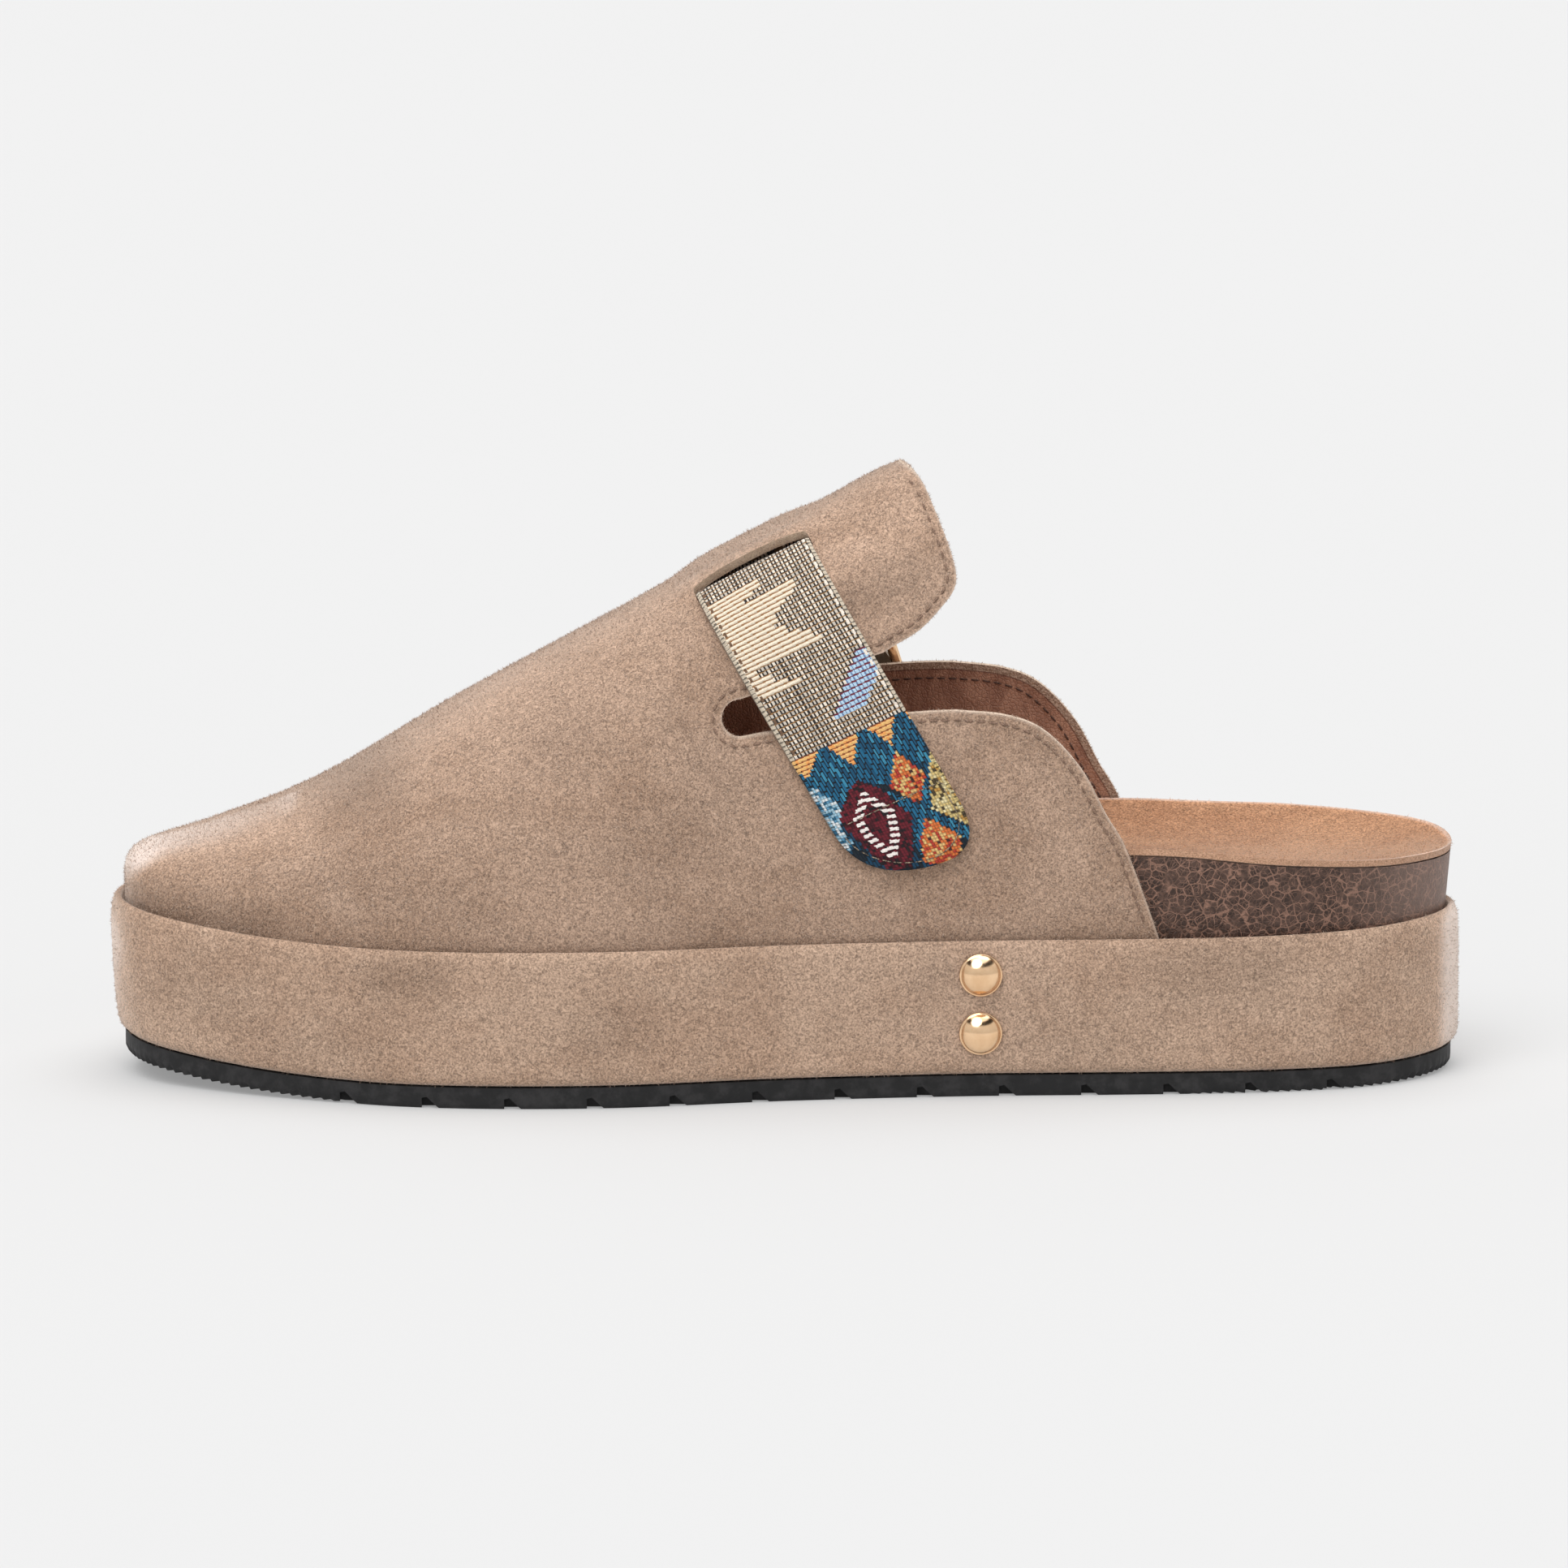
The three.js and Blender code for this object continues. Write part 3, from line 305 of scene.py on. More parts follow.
def strap_height(run):
    """Height of the strap's underside over the upper."""
    run = np.asarray(run, float)
    through = (np.abs(run) - SLOT_TOP) / SLOT_OPENING
    slot = STRAP_INSIDE + (STRAP_REST - STRAP_INSIDE) * smooth(through, -0.22, 0.36)
    nose = BUCKLE_WIRE / 2 + TAB_THICKNESS + GAP
    onto = smooth(run, UPPER_BAR_RUN + BUCKLE_WIRE, LOWER_BAR_RUN - nose)
    off = smooth(run, LOWER_BAR_RUN + nose, LAST_RUN)
    up = STRAP_REST + (BAR_LIFT + nose + 2 * GAP - STRAP_REST) * onto
    after = up + (STRAP_REST + TAB_THICKNESS + GAP - up) * off
    return np.where(np.abs(run) < SLOT_DROP + SLOT_OPENING / 2, slot, after)


def strap_half(run):
    power = 2.5
    half = STRAP_WIDTH / 2
    short = np.maximum(0, 1 - np.minimum(run - END_RUN, LAST_RUN - run) / half)
    return half * np.maximum((1 - np.minimum(short, 1) ** power) ** (1 / power), 0.06)


# Meshes
def linked(name, data):
    """New object in the scene."""
    obj = bpy.data.objects.new(name, data)
    bpy.context.scene.collection.objects.link(obj)
    return obj


def mesh_of(name, points, faces, materials):
    """New mesh from points in millimetres."""
    mesh = bpy.data.meshes.new(name)
    mesh.from_pydata((np.reshape(points, (-1, 3)) * MM).tolist(), [], faces)
    for material in materials:
        mesh.materials.append(material)
    return mesh


class Skin:
    """Collects grids of points into one mesh, with a material index for each grid."""

    def __init__(self):
        self.points, self.faces, self.kinds, self.count = [], [], [], 0

    def grid(self, points, kind=0, wrap=False, flip=False):
        points = np.asarray(points, float)
        rows, columns = points.shape[:2]
        number = np.arange(rows * columns).reshape(rows, columns) + self.count
        if wrap:
            number = np.concatenate([number, number[:, :1]], axis=1)
        a, b, c, d = number[:-1, :-1], number[1:, :-1], number[1:, 1:], number[:-1, 1:]
        quads = np.stack([a, d, c, b] if flip else [a, b, c, d], axis=-1).reshape(-1, 4)
        self.points.append(points.reshape(-1, 3))
        self.faces.append(quads)
        self.kinds.append(np.full(len(quads), kind))
        self.count += rows * columns
        return quads

    def strip(self, low, high, kind=0, flip=False):
        """Faces between two rows of points."""
        self.grid(np.stack([low, high], axis=1), kind, flip=flip)

    def tube(self, path, radius, kind=0, sides=8):
        """Round tube along a path, with closed ends."""
        path = np.asarray(path, float)
        along = unit(np.gradient(path, axis=0))
        side = unit(np.cross(along, np.array([0.31, 0.22, 0.92])))
        other = np.cross(along, side)
        turn = np.linspace(0, 2 * math.pi, sides, endpoint=False)
        radius = np.broadcast_to(radius, len(path))
        ring = (side[:, None] * np.cos(turn)[None, :, None] + other[:, None] * np.sin(turn)[None, :, None])
        rows = path[:, None] + ring * radius[:, None, None]
        ends = [np.repeat(path[:1, None], sides, 1), rows, np.repeat(path[-1:, None], sides, 1)]
        self.grid(np.concatenate(ends), kind, wrap=True)

    def build(self, name, materials, sharp=None, merge=0.0005):
        faces = np.concatenate(self.faces).tolist()
        mesh = mesh_of(name, np.concatenate(self.points), faces, materials)
        mesh.polygons.foreach_set("material_index", np.concatenate(self.kinds).astype(np.int32))
        if merge:
            clean(mesh, merge * MM)
        obj = linked(name, mesh)
        shade(obj, sharp)
        return obj


def clean(mesh, distance):
    bm = bmesh.new()
    bm.from_mesh(mesh)
    bmesh.ops.remove_doubles(bm, verts=bm.verts, dist=distance)
    bmesh.ops.dissolve_degenerate(bm, dist=distance, edges=bm.edges)
    bmesh.ops.recalc_face_normals(bm, faces=bm.faces)
    bm.to_mesh(mesh)
    bm.free()


def shade(obj, sharp):
    mesh = obj.data
    mesh.polygons.foreach_set("use_smooth", np.ones(len(mesh.polygons), bool))
    if sharp:
        mesh.set_sharp_from_angle(angle=math.radians(sharp))


def points_of(mesh):
    values = np.empty(len(mesh.vertices) * 3)
    mesh.vertices.foreach_get("co", values)
    return values.reshape(-1, 3) / MM


def attribute(mesh, name, values):
    mesh.attributes.new(name, "FLOAT", "POINT").data.foreach_set("value", np.asarray(values, np.float32))


def cut(obj, cutters):
    """Cuts the cutters out of obj and removes them."""
    for cutter in cutters:
        modifier = obj.modifiers.new("cut", "BOOLEAN")
        modifier.operation, modifier.solver, modifier.object = "DIFFERENCE", "EXACT", cutter
        modifier.use_self = False
    graph = bpy.context.evaluated_depsgraph_get()
    mesh = bpy.data.meshes.new_from_object(obj.evaluated_get(graph))
    obj.modifiers.clear()
    obj.data = mesh
    for cutter in cutters:
        bpy.data.objects.remove(cutter, do_unlink=True)


def prism(name, outline_2d, place, materials, depth, slices=2):
    """Closed prism over a flat outline; place turns (u, v, depth) rows into points."""
    flat = np.asarray(outline_2d, float)
    n = len(flat)
    depths = np.linspace(-depth / 2, depth / 2, slices)
    points = [place(flat[:, 0], flat[:, 1], np.full(n, d)) for d in depths]
    sides = [(k * n + i, k * n + (i + 1) % n, (k + 1) * n + (i + 1) % n, (k + 1) * n + i)
             for k in range(slices - 1) for i in range(n)]
    last = (slices - 1) * n
    caps = [tuple(range(n - 1, -1, -1)), tuple(range(last, last + n))]
    mesh = mesh_of(name, points, [*caps, *sides], materials)
    mesh.polygons.foreach_set("material_index", np.full(len(mesh.polygons), len(materials) - 1, np.int32))
    clean(mesh, 1e-7)
    return linked(name, mesh)


def spline(points, steps):
    """Smooth line through points, with equal steps between neighbours."""
    points = np.asarray(points, float)
    keys = np.arange(len(points))
    at = np.linspace(0, len(points) - 1, steps * (len(points) - 1) + 1)
    return np.stack([curve(keys, points[:, k], at) for k in range(2)], axis=1)


# Materials
def linear(rgb):
    share = np.asarray(rgb, float) / 255
    return np.where(share <= 0.04045, share / 12.92, ((share + 0.055) / 1.055) ** 2.4)


def srgb(*rgb):
    return (*linear(rgb).tolist(), 1.0)


class Shader:
    """Short way to write a node material."""

    def __init__(self, name):
        self.material = bpy.data.materials.new(name)
        self.material.use_nodes = True
        self.tree = self.material.node_tree
        self.tree.nodes.clear()
        self.output = self.node("OutputMaterial")
        self.place = self.node("TexCoord").outputs["Object"]

    def node(self, kind, settings=None, **inputs):
        node = self.tree.nodes.new("ShaderNode" + kind)
        for key, value in (settings or {}).items():
            setattr(node, key, value)
        for key, value in inputs.items():
            socket = node.inputs[int(key[1:])] if key[0] == "_" else node.inputs[key.replace("_", " ")]
            if isinstance(value, bpy.types.NodeSocket):
                self.tree.links.new(value, socket)
            else:
                socket.default_value = value
        return node

    def noise(self, size, detail=2.0, rough=0.5, distortion=0.0, place=None):
        """Noise with features of a size in millimetres, from 0 to 1."""
        return self.node("TexNoise", Vector=place or self.place, Scale=1 / (size * MM), Detail=detail,
                         Roughness=rough, Distortion=distortion).outputs["Fac"]

    def cells(self, size, feature="DISTANCE_TO_EDGE", place=None):
        return self.node("TexVoronoi", {"feature": feature}, Vector=place or self.place,
                         Scale=1 / (size * MM)).outputs["Distance"]

    def math(self, kind, a, b=0.0):
        return self.node("Math", {"operation": kind}, _0=a, _1=b).outputs[0]

    def span(self, value, low, high, to_low=0.0, to_high=1.0):
        return self.node("MapRange", {"interpolation_type": "SMOOTHSTEP"}, _0=value, _1=low, _2=high,
                         _3=to_low, _4=to_high).outputs[0]

    def mix(self, share, a, b, kind="MIX"):
        settings = {"data_type": "RGBA", "blend_type": kind}
        return self.node("Mix", settings, _0=share, _6=a, _7=b).outputs[2]

    def times(self, color, value):
        """The colour, lighter or darker by a value."""
        grey = self.node("CombineColor", _0=value, _1=value, _2=value).outputs[0]
        return self.mix(1.0, color, grey, "MULTIPLY")

    def plus(self, a, b, part):
        """The value a and a part of b."""
        return self.math("ADD", a, self.math("MULTIPLY", b, part))

    def value(self, name, output="Fac"):
        return self.node("Attribute", {"attribute_name": name}).outputs[output]

    def vector(self, kind, a, b):
        return self.node("VectorMath", {"operation": kind}, _0=a, _1=b).outputs[0]

    def stretched(self, *scale):
        return self.vector("MULTIPLY", self.place, scale)

    def finish(self, color, roughness, height=None, depth=0.2, strength=1.0, **inputs):
        """Principled surface with a bump of a depth in millimetres."""
        body = self.node("BsdfPrincipled", Base_Color=color, Roughness=roughness, **inputs)
        if height is not None:
            bump = self.node("Bump", Strength=strength, Distance=depth * MM, Height=height)
            self.tree.links.new(bump.outputs[0], body.inputs["Normal"])
        self.tree.links.new(body.outputs[0], self.output.inputs["Surface"])
        return self.material


EDGE_SEAM = 1.75  # from the cut edge to its row of stitches


def suede(name, dark, middle, light, edge=False):
    """Short-napped suede: soft patches, listed strokes of brushed tone and of painted light and shade, and a
    fine curly grain.
    """
    s = Shader(name)
    broad = s.noise(30, 3, 0.55, 0.5)
    streak = s.noise(8, 3, 0.6, 0.4, s.stretched(0.6, 1, 1.1))
    patch = s.span(s.plus(s.math("MULTIPLY", broad, 0.6), streak, 0.4), 0.36, 0.62)
    # The nap value makes the suede lighter or darker: its own brushed patches, and painted light and shade on
    # folds, on the toe box, above the rim and at the insole's edge
    color = s.times(s.mix(patch, dark, middle), s.plus(1.0, s.value("nap_and_light"), 0.2))
    curl = s.noise(0.85, 4, 0.8, 1.8)
    fine = s.noise(0.42, 2, 0.6)
    fibre = s.plus(s.math("MULTIPLY", curl, 0.65), fine, 0.35)
    color = s.times(color, s.span(fibre, 0.36, 0.62, 0.46, 1.32))
    color = s.mix(s.span(fibre, 0.54, 0.7, 0.0, 0.3), color, light)
    # Painted sheen: where the nap value is high the suede turns near white, at the toe, the top edge, the
    # wrap's ends and the insole's rim
    color = s.mix(s.span(s.value("nap_and_light"), 0.8, 2.2, 0.0, 0.7), color, srgb(244, 230, 222))
    height = fibre
    if edge:
        away = s.value("edge")
        line = s.math("ABSOLUTE", s.math("SUBTRACT", away, EDGE_SEAM))
        # Painted shade: the suede is darker along the groove of its stitch row
        groove = s.span(line, 0.05, 0.55)
        color = s.times(color, s.span(groove, 0, 1, 0.93, 1.0))
        color = s.mix(s.span(away, 0.55, 0.1, 0, 0.4), color, light)
        height = s.plus(fibre, groove, 0.4)
    return s.finish(color, 0.92, height, 0.3, 0.8, Specular_IOR_Level=0.15, Sheen_Weight=1.0,
                    Sheen_Roughness=0.28, Sheen_Tint=srgb(240, 228, 218))


TAUPE = dict(dark=srgb(169, 140, 119), middle=srgb(185, 156, 135), light=srgb(216, 195, 177))
upper_suede = suede("upper_suede", edge=True, **TAUPE)
wrap_suede = suede("wrap_suede", dark=srgb(180, 150, 128), middle=srgb(193, 164, 142),
                   light=srgb(226, 205, 186))
tab_suede = suede("tab_suede", **TAUPE)
insole_suede = suede("insole_suede", dark=srgb(171, 125, 94), middle=srgb(189, 143, 110),
                     light=srgb(218, 174, 141))


def raw_edge_material(name, dark, light):
    s = Shader(name)
    fibre = s.noise(0.35, 3, 0.7, 0.0, s.stretched(1, 1, 2))
    color = s.mix(s.span(fibre, 0.35, 0.65), dark, light)
    return s.finish(color, 0.95, fibre, 0.25, 0.8, Specular_IOR_Level=0.15, Sheen_Weight=0.3)


nap_fibre = raw_edge_material("nap_fibre", srgb(132, 106, 90), srgb(218, 194, 175))
insole_fibre = raw_edge_material("insole_fibre", srgb(164, 118, 88), srgb(230, 186, 152))
raw_edge = raw_edge_material("raw_edge", srgb(200, 172, 146), srgb(238, 216, 194))
insole_edge = raw_edge_material("insole_edge", srgb(160, 122, 96), srgb(220, 176, 146))


def lining_material():
    """Thin leather with fine wrinkles, and the suede's cut edge above it."""
    s = Shader("lining")
    grain = s.cells(0.8)
    wrinkle = s.noise(6.0, 4, 0.6, 1.4, s.stretched(1.0, 1, 0.45))
    color = s.mix(s.span(wrinkle, 0.34, 0.64), srgb(156, 112, 92), srgb(184, 138, 115))
    color = s.mix(s.span(grain, 0.0, 0.1, 0.3, 0.0), color, srgb(88, 58, 46))
    away = s.value("edge")
    seam = s.math("ABSOLUTE", s.math("SUBTRACT", away, 1.5))
    color = s.mix(s.span(seam, 0.0, 0.3, 0.6, 0.0), color, srgb(70, 46, 38))
    fluff = s.noise(0.45, 3, 0.7)
    edge = s.mix(s.span(fluff, 0.35, 0.65), srgb(138, 110, 92), srgb(196, 168, 148))
    color = s.mix(s.span(away, 1.5, 1.3), color, edge)
    height = s.plus(wrinkle, s.span(grain, 0, 0.2), 0.25)
    return s.finish(color, 0.55, height, 0.6, 0.6, Specular_IOR_Level=0.35)


def cork_material():
    s = Shader("cork")
    wobble = s.node("TexNoise", Vector=s.place, Scale=1 / (1.6 * MM), Detail=2.0).outputs["Color"]
    place = s.vector("ADD", s.place, s.vector("MULTIPLY", wobble, (0.7 * MM,) * 3))
    wide, small = s.cells(2.0, place=place), s.cells(1.05, place=place)
    body = s.mix(s.span(s.noise(1.8, 3, 0.6), 0.35, 0.65), srgb(56, 41, 35), srgb(86, 65, 56))
    lines = s.math("MAXIMUM", s.span(wide, 0.015, 0.075, 0.9, 0.0), s.span(small, 0.01, 0.07, 0.6, 0.0))
    broken = s.math("MULTIPLY", lines, s.span(s.noise(2.2, 2, 0.5), 0.36, 0.52, 0.25, 1.0))
    color = s.mix(broken, body, srgb(148, 113, 96))
    # Painted highlight: the cork turns lighter toward the heel end, for its gloss there
    along = s.node("SeparateXYZ", _0=s.place).outputs[0]
    color = s.mix(s.span(along, 0.108, 0.132, 0.0, 0.4), color, srgb(172, 146, 134))
    height = s.plus(s.span(small, 0.0, 0.15), lines, -0.5)
    return s.finish(color, 0.5, height, 0.12, 0.6, Specular_IOR_Level=0.3)


def rubber_material():
    s = Shader("tread_rubber")
    dust = s.noise(3.5, 4, 0.65)
    ribs = s.noise(0.8, 2, 0.5, 0.0, s.stretched(1.0, 1.0, 0.08))
    color = s.mix(s.span(dust, 0.4, 0.7), srgb(27, 27, 28), srgb(48, 47, 48))
    return s.finish(color, 0.62, s.plus(ribs, dust, 0.5), 0.1, 0.5, Specular_IOR_Level=0.35)


def webbing_material():
    s = Shader("webbing")
    twist = s.noise(0.22, 2, 0.6)
    color = s.times(s.value("thread", "Color"), s.span(twist, 0.3, 0.7, 0.78, 1.12))
    return s.finish(color, 0.78, twist, 0.06, 0.6, Specular_IOR_Level=0.3, Sheen_Weight=0.12)


def metal_material(name, bright, dull, roughness):
    s = Shader(name)
    stain = s.noise(3.0, 3, 0.6)
    color = s.mix(s.span(stain, 0.35, 0.7), bright, dull)
    rough = s.span(s.noise(0.9, 3, 0.6), 0.3, 0.7, roughness, roughness + 0.07)
    return s.finish(color, rough, s.noise(1.4, 2, 0.5), 0.004, 0.3, Metallic=1.0)


def thread_material(name, dark, light):
    s = Shader(name)
    twist = s.noise(0.3, 2, 0.5)
    return s.finish(s.mix(s.span(twist, 0.35, 0.65), dark, light), 0.8, twist, 0.05, 0.6)


lining = lining_material()
cork = cork_material()
rubber = rubber_material()
webbing = webbing_material()
rose_gold = metal_material("rose_gold", srgb(251, 213, 172), srgb(241, 200, 157), 0.12)
taupe_thread = thread_material("taupe_thread", srgb(112, 88, 72), srgb(152, 124, 106))
lining_thread = thread_material("lining_thread", srgb(58, 38, 32), srgb(96, 66, 54))
strap_thread = thread_material("strap_thread", srgb(46, 40, 38), srgb(176, 158, 134))


def piece(obj, slot, *nodes):
    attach(obj, "root")
    if nodes:
        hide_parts(*nodes)
    return obj


# Upper: the same shell as the part, finer, with its folds
THROAT_Z = SEAT + COLLAR_HEIGHT - THROAT_GAP * THROAT_DROP
FLAP_FOOT = THROAT_Z + THROAT_GAP / 2
COLLAR_Z = SEAT + COLLAR_HEIGHT
flap_line = spline([(a * LENGTH, FLAP_FOOT + (SEAT + INSTEP_HEIGHT - FLAP_FOOT) * u)
                    for a, u in reversed(FLAP_EDGE)], 6)
collar_line = spline([(COLLAR_CREST + (QUARTER_END - COLLAR_CREST) * a, SEAT + u * COLLAR_HEIGHT)
                      for a, u in COLLAR_EDGE], 8)
half_turn = np.linspace(math.pi / 2, 3 * math.pi / 2, 15)
keyhole = np.stack([THROAT_FRONT + THROAT_GAP / 2 * np.cos(half_turn),
                    THROAT_Z + THROAT_GAP / 2 * np.sin(half_turn)], axis=1)
share = np.linspace(0, 1, 10)[1:-1]
throat_foot = np.stack([THROAT_FRONT + (COLLAR_CREST - THROAT_FRONT) * share,
                        THROAT_Z - THROAT_GAP / 2 + (COLLAR_Z - THROAT_Z + THROAT_GAP / 2)
                        * smooth(share, -0.2, 1)], axis=1)
throat_top = np.stack([flap_line[-1, 0] + (THROAT_FRONT - flap_line[-1, 0]) * share,
                       flap_line[-1, 1] + (FLAP_FOOT - flap_line[-1, 1]) * share], axis=1)
edge_line = np.concatenate([flap_line, throat_top, keyhole, throat_foot, collar_line])

# Soft forms of the upper in side view: from, to, half width, height in millimetres; inner side only
FOLDS = [
    ((-131, 42.5), (-100, 39.5), 3.2, 0.6), ((-128, 34), (-98, 32.5), 3.5, -0.35),
    ((3, 99.5), (27, 107.5), 3.6, 0.7), ((6, 93), (25, 101), 4.5, -0.55),
    ((-90, 50), (-74, 62), 8, -0.6), ((-48, 62), (-32, 74), 8, 0.5),
    ((-64, 46), (-40, 44), 7, -0.5), ((-20, 84), (-13, 66), 4.5, -0.45),
    ((18, 40), (40, 36), 7, -0.45), ((48, 58), (62, 40), 5, 0.4),
    ((-112, 36), (-92, 34), 5, -0.3), ((12, 88), (20, 80), 4, 0.4),
]
SLOT_HOOD = 1.9
SLOT_ARCH = 1.2
SLOT_PLAY = 0.5
SLOT_CUT = 4.6
SLOT_CORNER = 1.2
FLAP_SLICES = 131
UPPER_FIBRES, EDGE_FIBRES, WRAP_FIBRES = 90000, 6000, 80000
# Strokes in side view: from, to, half width, lighter or darker; some are the suede's own brushed patches,
# others are painted light and shade
UPPER_NAP_AND_LIGHT = [
    ((-87, 60), (-80, 61), 5, -1), ((-47, 70), (-40, 73), 6, -0.6), ((-30, 50), (-18, 56), 8, -0.5),
    # Besides patches, the next two lines hold painted light and shade: a lighter band above the flap's fold
    # with painted shade below it, and the toe box painted lighter on top and darker at its side
    ((-98, 44), (-62, 40), 6, -0.5), ((2, 103), (26, 113), 3.6, 0.9),
    ((8, 95), (25, 101), 2.6, -0.8), ((-129, 47), (-98, 51), 4.5, 0.7), ((-131, 37), (-104, 34), 3.5, -0.7),
    ((-72, 66), (-52, 84), 4, 0.4), ((-10, 62), (-24, 78), 4, -0.5), ((40, 66), (60, 50), 4, 0.3),
    # Painted sheen: the toe and the upper's top edge seen from the side are painted lighter
    ((-134, 36), (-131, 46), 4, 1.8), ((-128, 47), (-100, 57), 3.5, 1.2), ((-100, 57), (24, 121), 3, 0.6),
]
# Strokes on the wrap: mostly its own darker patches, and a painted sheen at its two ends
WRAP_NAP_AND_LIGHT = [
    ((-80, 26), (-70, 27), 4.5, -1), ((-39, 14), (-33, 16), 6, -0.6), ((80, 25), (95, 26), 7, -0.9),
    ((28, 24), (38, 26), 4, -0.6), ((-122, 22), (-110, 18), 7, -0.5), ((-24, 7), (24, 7), 4, 0.3),
    # Painted sheen: the wrap's two ends are painted much lighter
    ((136, 8), (136, 30), 5.5, 2.8), ((-136, 8), (-136, 30), 4, 1.8), ((-132, 26), (-124, 30), 4, 0.5),
    ((52, 12), (66, 10), 7, -0.4), ((-96, 12), (-84, 10), 7, -0.4),
]


def flap_shift(y):
    """How much farther forward the flap's edge lies toward the outer side."""
    return FLAP_SKEW / 2 + y * FLAP_SKEW / (BALL_WIDTH / 2) + 1.5 * smooth(y, -3, 12)


def flap_move(y, z):
    """Shift of the cut edge at a place, which fades out at the flap's foot."""
    return np.maximum(flap_shift(y), 0) * smooth(z, FLAP_FOOT - 1, FLAP_FOOT + 3)


def edge_distance(points):
    """Distance in side view to the cut edge of the flap, throat and collar."""
    side = points[:, [0, 2]].copy()
    side[:, 0] += flap_move(points[:, 1], side[:, 1])
    return line_distance(side, edge_line)


def line_distance(points, line):
    """Distance from each flat point to a line of points."""
    line = np.asarray(line, float)
    best = np.full(len(points), 1e9)
    for a, b in zip(line[:-1], line[1:]):
        along = b - a
        t = np.clip(((points - a) @ along) / max(along @ along, 1e-9), 0, 1)
        best = np.minimum(best, np.linalg.norm(points - a - t[:, None] * along, axis=1))
    return best


def strokes(points, rows):
    """Sum of soft strokes at each point, from a table of rows in side view."""
    side = points[:, [0, 2]]
    return sum(amount * np.exp(-(line_distance(side, (a, b)) / width) ** 2) for a, b, width, amount in rows)


def nap_and_light_tone(points, rows):
    """Lighter and darker tone at each point, from brushed patches and from painted light and shade, weaker on
    the outer side.
    """
    return strokes(points, rows) * np.where(points[:, 1] < 0, 1.0, 0.7)


def folds(point):
    """How far the suede stands out of its plain form at each point."""
    flat = point.reshape(-1, 3)
    out = strokes(flat, FOLDS) * smooth(-flat[:, 1], -2, 10)
    away = edge_distance(flat)
    out += 0.3 * smooth(away, 0, 2.5) * (1 - smooth(away, 3, 11))
    for sign in (-1, 1):
        origin, across, along, _ = strap_frame(sign * SLOT_TOP)
        u, v = (flat - origin) @ across, (flat - origin) @ along * sign
        outer_side = smooth(sign * flat[:, 1], 1, 7)
        rise = np.where(v < 0, np.exp(-(v / 7.5) ** 2), np.exp(-(v / 1.8) ** 2))
        out += SLOT_HOOD * np.exp(-np.abs(u / 15.0) ** 6) * rise * outer_side
    return out.reshape(point.shape[:-1])


BACK_ANGLE = angle_at(QUARTER_END / LENGTH + 0.012)
BACK_END = BACK_ANGLE + 4


def upper_grid(distance, rows=250, columns=150):
    """Points of the shell at a distance out, closer together at the toe."""
    share = np.linspace(0, 1, rows)
    angle = (BACK_END * (0.35 * share**2 + 0.65 * share))[:, None]
    arc = np.linspace(0, 180, columns)[None, :]
    swell = folds(upper_point(angle, arc))
    swell *= smooth(np.sin(np.radians(arc)), 0.0, 0.12)
    return upper_offset(angle, np.broadcast_to(arc, (rows, columns)), distance + swell)


def nap_fibres(obj, name, material, count, kinds, slot="suede", length=0.55, width=0.12):
    """Short fibres on the napped faces of obj, as one mesh of slim triangles."""
    mesh = obj.data
    mesh.calc_loop_triangles()
    total = len(mesh.loop_triangles)
    corners, kind = np.empty(total * 3, np.int32), np.empty(total, np.int32)
    mesh.loop_triangles.foreach_get("vertices", corners)
    mesh.loop_triangles.foreach_get("material_index", kind)
    p = points_of(mesh)[corners.reshape(-1, 3)]
    facing = np.cross(p[:, 1] - p[:, 0], p[:, 2] - p[:, 0])
    weight = np.linalg.norm(facing, axis=1) * np.isin(kind, kinds)
    pick = rng.choice(total, count, p=weight / weight.sum())
    share = rng.random((count, 2))
    share = np.where((share.sum(axis=1) > 1)[:, None], 1 - share, share)
    p, normal = p[pick], unit(facing[pick])
    root = p[:, 0] + (p[:, 1] - p[:, 0]) * share[:, :1] + (p[:, 2] - p[:, 0]) * share[:, 1:]
    lean = rng.normal(size=(count, 3)) * 1.1
    lean -= np.sum(lean * normal, axis=1)[:, None] * normal
    tip = root + unit(lean + normal) * length * rng.uniform(0.6, 1.4, (count, 1))
    side = unit(np.cross(tip - root, normal)) * width / 2
    fibre = np.stack([root - side, root + side, tip], axis=1)
    faces = np.arange(3 * count).reshape(-1, 3).tolist()
    piece(linked(name, mesh_of(name, fibre, faces, [material])), slot)


